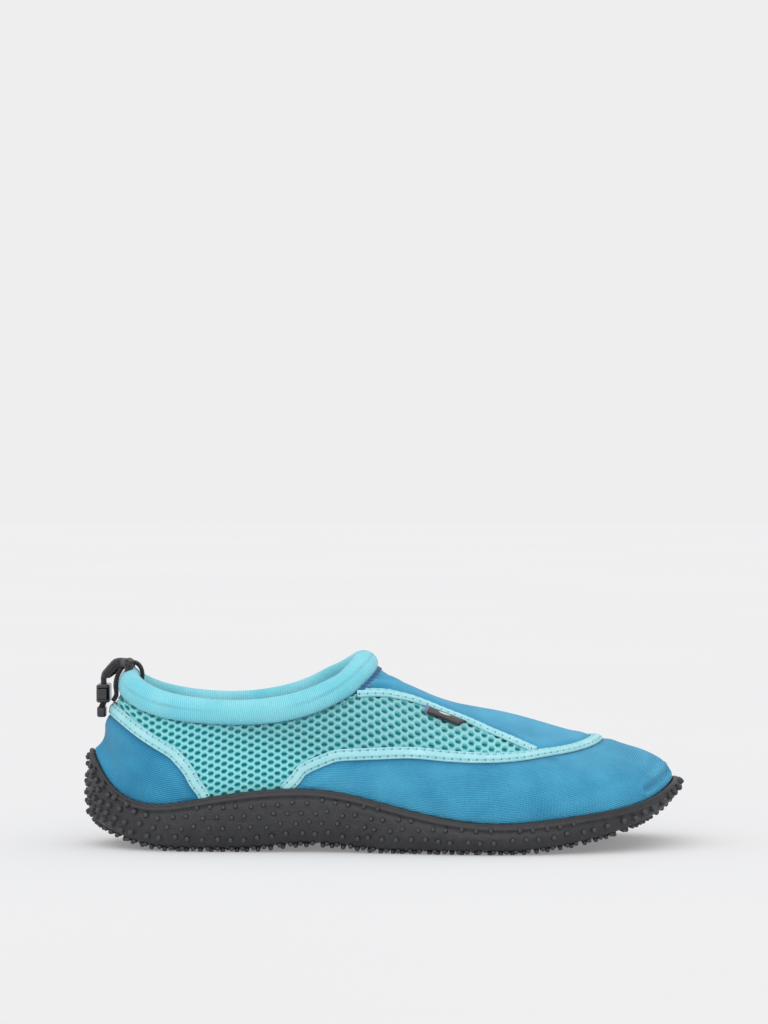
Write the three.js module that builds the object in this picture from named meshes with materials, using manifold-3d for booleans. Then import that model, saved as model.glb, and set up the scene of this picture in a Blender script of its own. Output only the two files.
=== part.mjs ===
// A slip-on aqua shoe for the right foot, in millimetres: toe towards +X, inner (medial) side towards +Y, up +Z.
// The upper is one curved surface with its panels cut out of it, standing in a rubber cup sole.
// The origin is on the ground, under the middle of the shoe.
import * as THREE from "three";
import { mergeVertices } from "three/addons/utils/BufferGeometryUtils.js";
import Module from "manifold-3d";

const wasm = await Module();
wasm.setup();

// ---------------------------------------------------------------- driving dimensions
const LENGTH = 263; // rubber cup, toe to heel
const WIDTH = 95.8; // rubber cup, across the ball
const COLLAR_HEIGHT = 86.5; // ground to the top of the collar at the instep
const CLEARANCE = 0.3; // between pieces that touch

const NUB_HEIGHT = 1.5; // tread nubs under the sole
const NUB_BASE_RADIUS = 1.9;
const NUB_TIP_RADIUS = 1.2;
const NUB_PITCH = 15;
const NUB_INSET = 4; // from the rim line
const TOE_SPRING = 24; // how far the sole turns up at the toe
const HEEL_BEVEL = 11.4; // and at the back of the heel
const ARCH_RISE = 2.6;

const CUP_FLOOR = 5.5; // ground to the cup's floor at the ball
const CUP_HEEL_LIFT = 2.5; // extra under the heel
const CUP_CLEARANCE = 0.5; // between the cup's wall and the upper
const CUP_BULGE = 3.4; // how far the cup stands out past the rim line
const RIM_WALL = 2.1; // rubber thickness at the rim
const TUCK = 2.2; // how far the upper turns in below the rim

const NEOPRENE = 2.4;
const MESH_CLOTH = 1.1;
const LINING = 0.9;
const BINDING_WIDTH = 5.2;
const BINDING_THICKNESS = 0.8;
const SEAM_GAP = 0.4; // between the edges of two panels
const BOARD = 1.2; // insole board
const FOOTBED = 4;

const COLLAR_HALF_WIDTH = 4.2; // collar roll, across its section
const CORD_RADIUS = 1.2;
const CORD_SPACING = 2.7; // between the two tails where they pass the lock
const CORD_EXIT = 0.42; // stations from the heel's middle to where a tail leaves the roll
const STRAP_WIDTH = 6.4;
const STRAP_THICKNESS = 1.1;
const STRAP_CLEARANCE = 0.45;

const LOCK_DEPTH = 6;
const LOCK_HEIGHT = 8;
const LOCK_BEHIND = 4.3; // from the foot of the roll to the lock's near face
const LOCK_WALL = 0.7;
const LOCK_BEVEL = 0.6;
const LOCK_TRAVEL = 2.5; // how far the lock slides up the tails
const BUTTON_TRAVEL = 2;
const BUTTON_PROUD = 0.8; // what is left standing out when it is pressed
const BUTTON_HEIGHT = 4.4;
const SPRING_LENGTH = 3.5;
const SPRING_RADIUS = 1.3;
const SPRING_WIRE = 0.22;
const SPRING_TURNS = 3;
const CORD_END_HEIGHT = 4.6;
const CORD_END_DEPTH = 4;
const CORD_END_WIDTH = 8;
const CORD_END_GRIP = 3; // how much of each tail is inside the cord end
const CORD_END_BACK = 0.4; // how much further back the cord end hangs than the lock, or more to clear the heel
const CORD_END_DROP = 1.9; // gap between the cord end and the lock

const LABEL_LENGTH = 19.5;
const LABEL_WIDTH = 4.6;
const LABEL_THICKNESS = 1;
const TONGUE_BINDING_WIDTH = 4.8;

const AROUND = 40; // facets around the shoe
const UPPER_STEPS = 10; // facets up the upper
const SEAM_STEPS = 2; // facets between two points of a seam
const FLATNESS = 0.05; // facets flatter than this are joined

// ---------------------------------------------------------------- the last, graded from its reference size
// Each row is one meridian of the upper, from the toe to the heel. Rim: x, z, outer y, inner y, where the upper
// leaves the cup. Collar: x, z, half width, where it meets the collar roll. Then the share of the toe's profile and
// of the heel's, half the roll's height, how much fuller the shoe is half way up, and the inner side's own collar z.
const REFERENCE = { length: 263, width: 95.8, height: 86.5 };
const STATIONS = [
  [128.1, 29.3, 8, 8, -4, 78, 0, 1, 0, 5.4, 0, 78],
  [121.5, 25.2, -13, 27, -5, 76.2, 6.5, 1, 0, 5.4, 0.8, 77.4],
  [105, 19.9, -31, 40.5, -8.8, 72.4, 12, 0.92, 0, 5.4, 2.6, 74.9],
  [76, 15.8, -42, 45, -14, 68, 17, 0.7, 0, 5.4, 4.6, 71.4],
  [42, 14.1, -45, 42.8, -22, 63.5, 21.5, 0.35, 0, 5.5, 4.6, 66.6],
  [5, 20.7, -39.5, 33, -36, 58.3, 25.5, 0.1, 0, 5.5, 2.5, 60],
  [-30, 27.6, -34, 28.5, -56, 55.4, 27.5, 0, 0, 5.3, 0.5, 56],
  [-70, 25, -32.5, 31, -78, 55.8, 27.5, 0, 0, 5.3, 0, 55.8],
  [-100, 20.8, -28.5, 28.5, -98, 58.4, 23.5, 0, 0.2, 5.7, 0, 58.4],
  [-119.5, 29, -17, 17, -111.5, 63.2, 13.5, 0, 0.7, 6.4, 0, 63.2],
  [-128.1, 42.5, 0, 0, -117, 66.3, 0, 0, 1, 7, 0, 66.3],
];
const LAST = STATIONS.length - 1; // station number of the heel
const LOOP = 2 * LAST; // stations once round the shoe
const SCALE = new THREE.Vector3(
  LENGTH / REFERENCE.length,
  WIDTH / REFERENCE.width,
  COLLAR_HEIGHT / REFERENCE.height,
);

// Meridian profiles at equal steps from the rim to the collar: [share of the way in, share of the way up].
const TOE_PROFILE = [[0, 0], [0.045, 0.165], [0.165, 0.3], [0.35, 0.43], [0.56, 0.59], [0.76, 0.7], [0.91, 0.87], [1, 1]];
const SIDE_PROFILE = [[0, 0], [-0.1, 0.143], [-0.1, 0.286], [0, 0.429], [0.18, 0.571], [0.42, 0.714], [0.7, 0.857], [1, 1]];
const HEEL_PROFILE = [[0, 0], [0.3, 0.13], [0.4, 0.27], [0.44, 0.41], [0.52, 0.57], [0.66, 0.72], [0.82, 0.86], [1, 1]];

const unit = (v) => v.clone().normalize();
const mix = (a, b, share) => a + (b - a) * share;
const smooth = (x) => {
  const c = Math.min(1, Math.max(0, x));
  return c * c * (3 - 2 * c);
};

// Control values of the cubic B-spline that passes through the given values.
function splineControls(values, closed) {
  const count = values.length;
  let controls = [...values];
  const SWEEPS = 40;
  for (let sweep = 0; sweep < SWEEPS; sweep++) {
    controls = controls.map((_, i) => {
      const before = closed ? controls[(i + count - 1) % count] : (controls[i - 1] ?? 2 * controls[i] - controls[i + 1]);
      const after = closed ? controls[(i + 1) % count] : (controls[i + 1] ?? 2 * controls[i] - controls[i - 1]);
      return (6 * values[i] - before - after) / 4;
    });
  }
  return controls;
}

function spline(values, closed = false) {
  const controls = splineControls(values, closed);
  const count = controls.length;
  const at = (i) => {
    if (closed) return controls[((i % count) + count) % count];
    if (i < 0) return 2 * controls[0] - controls[1];
    if (i >= count) return 2 * controls[count - 1] - controls[count - 2];
    return controls[i];
  };
  return (u) => {
    const i = closed ? Math.floor(u) : Math.min(count - 2, Math.max(0, Math.floor(u)));
    const f = u - i;
    const g = 1 - f;
    return (
      (g ** 3 * at(i - 1) +
        (3 * f ** 3 - 6 * f ** 2 + 4) * at(i) +
        (3 * g ** 3 - 6 * g ** 2 + 4) * at(i + 1) +
        f ** 3 * at(i + 2)) /
      6
    );
  };
}

// One column of the table, once round the shoe: outer side first, then the inner side back to the toe.
function around(outerColumn, innerColumn = outerColumn, innerSign = 1, scale = 1) {
  const outer = STATIONS.map((row) => row[outerColumn] * scale);
  const inner = STATIONS.slice(1, LAST).map((row) => row[innerColumn] * scale * innerSign);
  return spline([...outer, ...inner.reverse()], true);
}
const rimX = around(0, 0, 1, SCALE.x);
const rimZ = around(1, 1, 1, SCALE.z);
const rimY = around(2, 3, 1, SCALE.y);
const collarX = around(4, 4, 1, SCALE.x);
const collarZ = around(5, 11, 1, SCALE.z);
const collarY = around(6, 6, -1, -SCALE.y);
const toeShare = around(7);
const heelShare = around(8);
const rollHalfHeight = around(9);
const fullness = around(10);

function profile(points) {
  const inward = spline(points.map((p) => p[0]));
  const up = spline(points.map((p) => p[1]));
  const steps = points.length - 1;
  return (t) => [inward(t * steps), up(t * steps)];
}
const toeProfile = profile(TOE_PROFILE);
const sideProfile = profile(SIDE_PROFILE);
const heelProfile = profile(HEEL_PROFILE);

// Height of the nub tips, and of the cup's floor, at a place along the shoe.
function groundAt(x) {
  const s = x / SCALE.x;
  const toe = Math.max(0, (s - 48) / 83);
  const heel = Math.max(0, (-88 - s) / 43.5);
  const arch = Math.min(1, Math.max(0, (s + 66) / 70));
  return TOE_SPRING * (0.74 * toe ** 1.9 + 0.26 * toe ** 10) + HEEL_BEVEL * heel ** 2 + ARCH_RISE * Math.sin(Math.PI * arch) ** 2;
}
const floorAt = (x) => groundAt(x) + CUP_FLOOR + CUP_HEEL_LIFT * smooth((-10 * SCALE.x - x) / (50 * SCALE.x));

const rimPoint = (k) => new THREE.Vector3(rimX(k), rimY(k), rimZ(k));
function planNormal(k) {
  const STEP = 0.01;
  const along = rimPoint(k + STEP).sub(rimPoint(k - STEP));
  return new THREE.Vector3(-along.y, along.x, 0).normalize();
}

// The upper's outer surface: k is the station, t runs from -1 on the cup's floor through 0 at the rim to 1 at the collar.
function surface(k, t) {
  const rim = rimPoint(k);
  if (t < 0) {
    const tucked = rim.clone().addScaledVector(planNormal(k), -TUCK);
    tucked.z = floorAt(tucked.x) + CLEARANCE;
    return rim.lerp(tucked, -t);
  }
  const toe = toeShare(k);
  const heel = heelShare(k);
  const [toeIn, toeUp] = toeProfile(t);
  const [sideIn, sideUp] = sideProfile(t);
  const [heelIn, heelUp] = heelProfile(t);
  const inward = toe * toeIn + heel * heelIn + (1 - toe - heel) * sideIn;
  const up = toe * toeUp + heel * heelUp + (1 - toe - heel) * sideUp;
  return new THREE.Vector3(
    mix(rim.x, collarX(k), inward),
    mix(rim.y, collarY(k), inward),
    mix(rim.z, collarZ(k), up) + fullness(k) * Math.sin(Math.PI * t),
  );
}

function surfaceFrame(k, t) {
  const STEP = 0.004;
  const above = t < 0 ? Math.min(t + STEP, 0) : t + STEP;
  const below = t < 0 ? t - STEP : Math.max(t - STEP, 0);
  const alongK = surface(k + STEP, t).sub(surface(k - STEP, t)).divideScalar(2 * STEP);
  const alongT = surface(k, above).sub(surface(k, below)).divideScalar(above - below);
  return { point: surface(k, t), alongK, alongT, normal: alongT.clone().cross(alongK).normalize() };
}

function offsetPoint(k, t, distance) {
  const { point, normal } = surfaceFrame(k, t);
  return point.addScaledVector(normal, distance);
}

// ---------------------------------------------------------------- mesh building
function geometryOf(points, triangles) {
  const positions = points.flatMap((p) => [p.x, p.y, p.z]);
  let g = new THREE.BufferGeometry();
  g.setAttribute("position", new THREE.Float32BufferAttribute(positions, 3));
  g.setIndex(triangles);
  g = mergeVertices(g, 1e-3);
  const index = [];
  const old = g.index.array;
  for (let i = 0; i < old.length; i += 3) {
    const [a, b, c] = [old[i], old[i + 1], old[i + 2]];
    if (a !== b && b !== c && c !== a) index.push(a, b, c);
  }
  g.setIndex(index);
  if (signedVolume(g) < 0) {
    for (let i = 0; i < index.length; i += 3) [index[i + 1], index[i + 2]] = [index[i + 2], index[i + 1]];
    g.setIndex(index);
  }
  return g;
}

function signedVolume(g) {
  const p = g.attributes.position;
  const [a, b, c] = [new THREE.Vector3(), new THREE.Vector3(), new THREE.Vector3()];
  let volume = 0;
  for (let i = 0; i < g.index.count; i += 3) {
    a.fromBufferAttribute(p, g.index.array[i]);
    b.fromBufferAttribute(p, g.index.array[i + 1]);
    c.fromBufferAttribute(p, g.index.array[i + 2]);
    volume += a.dot(b.cross(c));
  }
  return volume;
}

// Quads between neighbouring rows of points; a row is closed on itself or open.
function skin(rows, closed) {
  const width = rows[0].length;
  const triangles = [];
  for (let r = 0; r + 1 < rows.length; r++) {
    for (let i = 0; i < (closed ? width : width - 1); i++) {
      const next = (i + 1) % width;
      const [a, b, c, d] = [r * width + i, r * width + next, (r + 1) * width + next, (r + 1) * width + i];
      triangles.push(a, b, c, a, c, d);
    }
  }
  return triangles;
}

// A body whose section is a closed loop of points at each step; its ends are capped unless it closes on itself.
function loft(sections, closed = false) {
  const width = sections[0].length;
  const rows = closed ? [...sections, sections[0]] : sections;
  const triangles = skin(rows, true);
  const points = rows.flat();
  if (!closed) {
    for (const [row, flip] of [[0, true], [rows.length - 1, false]]) {
      const start = row * width;
      const middle = points.length;
      const sum = new THREE.Vector3();
      rows[row].forEach((p) => sum.add(p));
      points.push(sum.divideScalar(width));
      for (let i = 0; i < width; i++) {
        const [a, b] = [start + i, start + ((i + 1) % width)];
        triangles.push(middle, flip ? b : a, flip ? a : b);
      }
    }
  }
  return geometryOf(points, triangles);
}

const wholeLoop = Array.from({ length: AROUND }, (_, i) => (i * LOOP) / AROUND);

// A body between two equal grids of points, front and back; its rows form a closed ring or have two ends.
function slab(frontRows, backRows, closed) {
  const front = closed ? [...frontRows, frontRows[0]] : frontRows;
  const back = closed ? [...backRows, backRows[0]] : backRows;
  const width = front[0].length;
  const last = front.length - 1;
  const apart = front.length * width;
  const faces = skin(front, false);
  const triangles = [...faces, ...faces.toReversed().map((i) => i + apart)];
  const strip = (a, b) => triangles.push(a, b, b + apart, a, b + apart, a + apart);
  const stripBack = (a, b) => triangles.push(a, b + apart, b, a, a + apart, b + apart);
  for (let r = 0; r < last; r++) {
    strip(r * width, (r + 1) * width);
    stripBack((r + 1) * width - 1, (r + 2) * width - 1);
  }
  for (let i = 0; !closed && i + 1 < width; i++) {
    strip(i + 1, i);
    strip(last * width + i, last * width + i + 1);
  }
  return geometryOf([...front.flat(), ...back.flat()], triangles);
}

// A closed band of cloth, from the cup's floor up to the collar, between two distances from the upper's surface.
function band(outer, inner) {
  const heights = [-1, ...Array.from({ length: UPPER_STEPS + 1 }, (_, j) => j / UPPER_STEPS)];
  const sheet = (distance) => wholeLoop.map((k) => heights.map((t) => offsetPoint(k, t, distance)));
  return slab(sheet(outer), sheet(inner), true);
}

// The place on the surface nearest to a point, looked for from [station, height] near it.
function nearest(point, [k, t]) {
  const TRIES = 4;
  for (let i = 0; i < TRIES; i++) {
    const { point: here, alongK, alongT } = surfaceFrame(k, t);
    const left = point.clone().sub(here);
    const [kk, tt, kt] = [alongK.lengthSq(), alongT.lengthSq(), alongK.dot(alongT)];
    const [dk, dt] = [left.dot(alongK), left.dot(alongT)];
    const scale = 1 / (kk * tt - kt * kt);
    k += (dk * tt - dt * kt) * scale;
    t += (dt * kk - dk * kt) * scale;
  }
  return [k, t];
}

// A tape laid on the surface along a line of [station, height] points, `shift` to one side of it.
function tape(line, width, outer, inner, shift = 0) {
  const ACROSS = [-0.5, 0, 0.5];
  const places = line.map(([k, t], i) => {
    const before = line[Math.max(0, i - 1)];
    const after = line[Math.min(line.length - 1, i + 1)];
    const { point, normal } = surfaceFrame(k, t);
    const along = unit(surface(...after).sub(surface(...before)));
    const side = unit(normal.clone().cross(along));
    return ACROSS.map((share) => nearest(point.clone().addScaledVector(side, share * width + shift), [k, t]));
  });
  const sheet = (lift) => places.map((row) => row.map(([k, t]) => offsetPoint(k, t, lift)));
  return slab(sheet(outer), sheet(inner), false);
}

function solid(geometry) {
  const g = geometry.clone();
  g.deleteAttribute("normal");
  g.deleteAttribute("uv");
  const merged = mergeVertices(g, 1e-4);
  return new wasm.Manifold(
    new wasm.Mesh({
      numProp: 3,
      vertProperties: new Float32Array(merged.attributes.position.array),
      triVerts: new Uint32Array(merged.index.array),
    }),
  );
}

function geometryFrom(manifold) {
  const mesh = manifold.simplify(FLATNESS).getMesh();
  const g = new THREE.BufferGeometry();
  g.setAttribute("position", new THREE.BufferAttribute(new Float32Array(mesh.vertProperties), 3));
  g.setIndex(new THREE.BufferAttribute(new Uint32Array(mesh.triVerts), 1));
  return g;
}

const largest = (manifold) => manifold.decompose().reduce((a, b) => (a.volume() > b.volume() ? a : b));

function tube(path, radius, sides) {
  const frames = path.map((p, i) => {
    const along = unit(path[Math.min(i + 1, path.length - 1)].clone().sub(path[Math.max(i - 1, 0)]));
    return { p, along };
  });
  let across = unit(new THREE.Vector3(0, 0, 1).cross(frames[0].along).addScaledVector(new THREE.Vector3(1, 0, 0), 0.01));
  const sections = frames.map(({ p, along }) => {
    across = unit(across.clone().addScaledVector(along, -across.dot(along)));
    const other = along.clone().cross(across);
    return Array.from({ length: sides }, (_, i) => {
      const a = (2 * Math.PI * (i + 0.5)) / sides;
      return p.clone().addScaledVector(across, radius * Math.cos(a)).addScaledVector(other, radius * Math.sin(a));
    });
  });
  return loft(sections);
}

// ---------------------------------------------------------------- seams, as [station, height] on the outer side
const HEEL_SEAM = [[7.23, -1.1], [7.23, 0.04], [7.37, 0.2], [7.45, 0.366], [7.59, 0.522], [7.8, 0.638], [8.32, 0.746],
  [9.03, 0.791], [9.6, 0.762], [10, 0.745]];
const TOE_SEAM = [[6.32, -1.1], [6.32, 0], [6.26, 0.181], [6.14, 0.323], [5.8, 0.466], [5.44, 0.517], [4.71, 0.533],
  [4.27, 0.499], [3.68, 0.446], [2.96, 0.408], [2.23, 0.398], [1.39, 0.378], [0.68, 0.363], [0, 0.36]];
const TONGUE_SEAM = [[3.2, 1.06], [3.04, 1.002], [2.09, 0.886], [1.69, 0.833], [1.3, 0.738], [1.97, 0.599],
  [2.23, 0.52], [2.33, 0.38]];

// A seam line smoothed through its points, `fine` steps between neighbouring points.
function seamLine(points, fine) {
  const station = spline(points.map((p) => p[0]));
  const height = spline(points.map((p) => p[1]));
  const count = (points.length - 1) * fine;
  return Array.from({ length: count + 1 }, (_, i) => [station(i / fine), height(i / fine)]);
}
// Both sides of the shoe: the outer side's line, then its mirror about the toe (0) or the heel (LAST).
const mirrored = (line, about) => line.map(([k, t]) => [2 * about - k, t]).reverse();
const heelSeam = seamLine(HEEL_SEAM, SEAM_STEPS);
const heelSeamWhole = [...heelSeam, ...mirrored(heelSeam, LAST).slice(1)];
const toeSeam = seamLine(TOE_SEAM, SEAM_STEPS);
const toeSeamWhole = [...toeSeam, ...mirrored(toeSeam, 0).slice(1)];
const tongueSeam = seamLine(TONGUE_SEAM, SEAM_STEPS);
const tongueSeamInner = tongueSeam.map(([k, t]) => [-k, t]);
const backSeam = [0.7, 0.8, 0.9, 1.06].map((t) => [LAST, t]);

// ---------------------------------------------------------------- upper
const GAP_DEPTH = NEOPRENE + 1;
const GAP_OVER = 0.8;
const gapAlong = (line) => solid(tape(line, SEAM_GAP, GAP_OVER, -GAP_DEPTH));
const shell = (outer, inner) => {
  const whole = band(outer, inner);
  const gaps = [heelSeamWhole, toeSeamWhole, tongueSeam, tongueSeamInner, backSeam].map(gapAlong);
  return solid(whole).subtract(wasm.Manifold.union(gaps)).decompose();
};
// The piece of a cut shell that lies nearest to a place on the surface.
function pieceAt(pieces, k, t, depth) {
  const target = offsetPoint(k, t, depth);
  const distance = (piece) => {
    const p = piece.getMesh().vertProperties;
    let best = Infinity;
    for (let i = 0; i < p.length; i += 3) best = Math.min(best, target.distanceTo(new THREE.Vector3(p[i], p[i + 1], p[i + 2])));
    return best;
  };
  return pieces.reduce((a, b) => (distance(a) < distance(b) ? a : b));
}
const neoprene = shell(0, -NEOPRENE);
const meshCloth = shell(0, -MESH_CLOTH);
const lining = shell(-MESH_CLOTH - CLEARANCE, -MESH_CLOTH - CLEARANCE - LINING);
const SIDE_SPOT = [6.8, 0.5];
const TOE_SPOT = [1, 0.15];
const TONGUE_SPOT = [0, 0.7];
const HEEL_SPOT = [LAST, 0.4];

const rimCutter = solid(
  loft(
    wholeLoop.map((k) => {
      const [rim, out] = [rimPoint(k), planNormal(k)];
      const corner = (along, up) => rim.clone().addScaledVector(out, along).add(new THREE.Vector3(0, 0, up));
      return [corner(-3, -15), corner(8, -15), corner(8, CLEARANCE), corner(-3, CLEARANCE)];
    }),
    true,
  ),
);
const onRubber = (line) => line.filter(([, t]) => t > -0.3);
// The space under a tape: the whole upper and the clearance over it.
const underTape = solid(band(CLEARANCE, -NEOPRENE - 2));
const bindingTape = (line, width) =>
  solid(tape(line, width, CLEARANCE + BINDING_THICKNESS, -1)).subtract(underTape);
const heelBinding = largest(bindingTape(onRubber(heelSeamWhole), BINDING_WIDTH).subtract(rimCutter));
const toeBinding = largest(bindingTape(onRubber(toeSeamWhole), BINDING_WIDTH).subtract(rimCutter));
// A body cut back so that it stays clear of another in every direction.
const SHIFTS = [[1, 0, 0], [-1, 0, 0], [0, 1, 0], [0, -1, 0], [0, 0, 1], [0, 0, -1]];
const keptOff = (body, other) =>
  SHIFTS.reduce((left, shift) => left.subtract(other.translate(shift.map((x) => x * CLEARANCE * 1.3))), body);
const underRoll = (line) => line.filter(([, t]) => t < 0.985);
const tongueBinding = (line) => largest(keptOff(bindingTape(underRoll(line), TONGUE_BINDING_WIDTH), toeBinding));
const tongueBindingOuter = tongueBinding(tongueSeam);
const tongueBindingInner = tongueBinding(tongueSeamInner);

// ---------------------------------------------------------------- rubber cup, insole board and footbed
// A body filled in to its long middle line: each station gives its outline from the bottom edge up to the top edge.
function filled(outlineAt, bottomAt, topAt) {
  const sections = wholeLoop.map((k) => {
    const points = outlineAt(k);
    const opposite = outlineAt(k === 0 ? 0 : LOOP - k);
    const inwards = (edge, other, heightAt) =>
      [0.5, 0.25, 0].map((share) => {
        const p = edge.clone().multiplyScalar(1 - share).addScaledVector(other, share);
        if (share === 0.5) p.copy(edge.clone().add(other).multiplyScalar(0.5));
        p.z = heightAt(p.x);
        return p;
      });
    return [
      ...inwards(points[0], opposite[0], bottomAt),
      ...points.slice(1, -1),
      ...inwards(points.at(-1), opposite.at(-1), topAt).reverse(),
    ];
  });
  const rows = [...sections, sections[0]];
  return geometryOf(rows.flat(), skin(rows, false));
}
const besideRim = (k, out, z) => {
  const p = rimPoint(k).addScaledVector(planNormal(k), out);
  p.z = typeof z === "function" ? z(p.x) : z;
  return p;
};
const soleAt = (x) => groundAt(x) + NUB_HEIGHT;
const boardBottom = (x) => floorAt(x) + CLEARANCE;
const boardTop = (x) => boardBottom(x) + BOARD;
const footbedBottom = (x) => boardTop(x) + CLEARANCE;
const footbedTop = (x) => footbedBottom(x) + FOOTBED;
const boardEdge = -(TUCK + NEOPRENE + 2.2 * CLEARANCE);

const cup = filled(
  (k) => {
    const rim = rimPoint(k);
    const bottom = soleAt(rim.x);
    const wall = (out, share) => besideRim(k, out, mix(bottom, rim.z, share));
    return [
      besideRim(k, CUP_BULGE - 5.2, soleAt),
      wall(CUP_BULGE - 2.2, 0.04),
      wall(CUP_BULGE - 0.6, 0.18),
      wall(CUP_BULGE, 0.42),
      wall(mix(CUP_BULGE, RIM_WALL, 0.4), 0.75),
      wall(CLEARANCE + RIM_WALL, 1),
      wall(CUP_CLEARANCE, 1),
      besideRim(k, CUP_CLEARANCE - TUCK, floorAt),
    ];
  },
  soleAt,
  floorAt,
);
const plate = (edge, bottomAt, topAt) =>
  filled((k) => [besideRim(k, edge, bottomAt), besideRim(k, edge, topAt)], bottomAt, topAt);

function insideOutline(x, y, inset) {
  let inside = false;
  const outline = wholeLoop.map((k) => besideRim(k, -inset, 0));
  outline.forEach((a, i) => {
    const b = outline[(i + 1) % outline.length];
    if (a.y > y !== b.y > y && x < ((b.x - a.x) * (y - a.y)) / (b.y - a.y) + a.x) inside = !inside;
  });
  return inside;
}
const nubs = [];
const NUB_ROOT = 1; // how deep a nub starts inside the sole
for (let row = -6; row <= 6; row++) {
  const y = (row * NUB_PITCH * Math.sqrt(3)) / 2;
  for (let column = -12; column <= 12; column++) {
    const x = (column + (row % 2 ? 0.5 : 0)) * NUB_PITCH;
    if (!insideOutline(x, y, NUB_INSET)) continue;
    const nub = new THREE.CylinderGeometry(NUB_BASE_RADIUS, NUB_TIP_RADIUS, NUB_HEIGHT + NUB_ROOT, 6);
    nub.rotateX(Math.PI / 2);
    nub.translate(x, y, groundAt(x) + (NUB_HEIGHT + NUB_ROOT) / 2);
    nubs.push(solid(nub));
  }
}
const outsole = solid(cup).add(wasm.Manifold.union(nubs));

// ---------------------------------------------------------------- collar roll, drawcord and heel strap
// It stands up from the edge of the upper, more steeply at the sides than at the instep and the heel.
function rollFrame(k) {
  const { point, alongT, alongK } = surfaceFrame(k, 1);
  const [toe, heel] = [toeShare(k), heelShare(k)];
  const upright = 0.85 * (1 - toe - heel) + 0.25 * toe + 0.3 * heel;
  const up = unit(unit(alongT).lerp(new THREE.Vector3(0, 0, 1), upright));
  const out = unit(up.clone().cross(alongK));
  const centre = point.addScaledVector(up, rollHalfHeight(k) + CLEARANCE).addScaledVector(out, -NEOPRENE / 2);
  return { centre, up, out };
}
function rollPoint(k, angle, lift = 0) {
  const { centre, up, out } = rollFrame(k);
  return centre
    .addScaledVector(out, (COLLAR_HALF_WIDTH + lift) * Math.cos(angle))
    .addScaledVector(up, (rollHalfHeight(k) + lift) * Math.sin(angle));
}
const ROLL_SIDES = 10;
const roll = loft(
  wholeLoop.map((k) => Array.from({ length: ROLL_SIDES }, (_, i) => rollPoint(k, ((i + 0.5) * 2 * Math.PI) / ROLL_SIDES))),
  true,
);

const lockCentre = surface(LAST, 1).add(new THREE.Vector3(-LOCK_BEHIND - LOCK_DEPTH / 2, 0, 0.6));
const lockTop = lockCentre.z + LOCK_HEIGHT / 2;
const cordEndTop = lockCentre.z - LOCK_HEIGHT / 2 - CORD_END_DROP;
// How far back the heel and its binding stand, from the foot of the cord end up.
const heelHeights = Array.from({ length: 41 }, (_, i) => mix(0.5, 1, i / 40));
const standsOut = (lift, lowest) =>
  Math.min(...heelHeights.map((t) => offsetPoint(LAST, t, lift)).filter((p) => p.z > lowest).map((p) => p.x));
const bindingFoot = surface(...HEEL_SEAM.at(-1)).z - BINDING_WIDTH / 2;
const heelBack = Math.min(
  standsOut(0, cordEndTop - CORD_END_HEIGHT),
  standsOut(CLEARANCE + BINDING_THICKNESS, Math.max(bindingFoot, cordEndTop - CORD_END_HEIGHT)),
);
const cordEndX = Math.min(lockCentre.x - CORD_END_BACK, heelBack - CLEARANCE - CORD_END_DEPTH / 2);
const tail = (side, z, x = 0, spread = 0) =>
  new THREE.Vector3(lockCentre.x + x, side * (CORD_SPACING / 2 + spread), z);
// The tail runs straight through the cord end, and straight again through the lock and the lock's travel.
const straightTail = (side) => [
  tail(side, cordEndTop - CORD_END_GRIP, cordEndX - lockCentre.x),
  tail(side, cordEndTop + 0.3, cordEndX - lockCentre.x),
  tail(side, lockTop - LOCK_HEIGHT - 0.2),
];
const tailTop = (side) => [tail(side, lockTop + LOCK_TRAVEL), tail(side, lockTop + LOCK_TRAVEL + 2.7, 1.1, 1.3)];
const exitPoints = (k) => [rollPoint(k, 1, 3), rollPoint(k, 1, 0.8), rollFrame(k).centre];
const CHANNEL_STATIONS = wholeLoop.filter((k) => k > 0 && k < LAST - CORD_EXIT - 0.3);
const insidePoints = [
  ...CHANNEL_STATIONS.toReversed().map((k) => rollFrame(k).centre),
  rollFrame(0).centre,
  ...CHANNEL_STATIONS.map((k) => rollFrame(-k).centre),
];
const outerExit = exitPoints(LAST - CORD_EXIT);
const innerExit = exitPoints(LAST + CORD_EXIT).reverse();
const cordCurve = new THREE.CatmullRomCurve3([
  ...tailTop(-1),
  ...outerExit,
  ...insidePoints,
  ...innerExit,
  ...tailTop(1).reverse(),
]);
const CORD_STEPS = 90;
const cordPath = [
  ...straightTail(-1),
  ...cordCurve.getSpacedPoints(CORD_STEPS),
  ...straightTail(1).reverse(),
];
const outsideSteps = cordPath.findIndex((p) => p.z > lockTop + 3);
const channelPath = cordPath.slice(outsideSteps, cordPath.length - outsideSteps);
const CORD_SIDES = 6;
const cord = tube(cordPath, CORD_RADIUS, CORD_SIDES);
const collar = solid(roll).subtract(solid(tube(channelPath, CORD_RADIUS + CLEARANCE * 1.3, CORD_SIDES)));

// The strap lies flat on the heel below the roll, then goes over it and ends inside.
const strapCentre = STRAP_CLEARANCE + STRAP_THICKNESS / 2;
const strapHalf = STRAP_WIDTH / 2 / rollFrame(LAST - 1).centre.distanceTo(rollFrame(LAST).centre);
const strapStations = [-1, -0.5, 0, 0.5, 1].map((share) => LAST + share * strapHalf);
const strapAngles = Array.from({ length: 17 }, (_, i) => THREE.MathUtils.degToRad(-48 + (i * 250) / 16));
const strapSheet = (lift) => [
  ...[0.86, 0.9, 0.94].map((t) => strapStations.map((k) => offsetPoint(k, t, lift))),
  ...strapAngles.map((angle) => strapStations.map((k) => rollPoint(k, angle, lift))),
];
const strap = slab(strapSheet(strapCentre + STRAP_THICKNESS / 2), strapSheet(strapCentre - STRAP_THICKNESS / 2), false);

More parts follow.
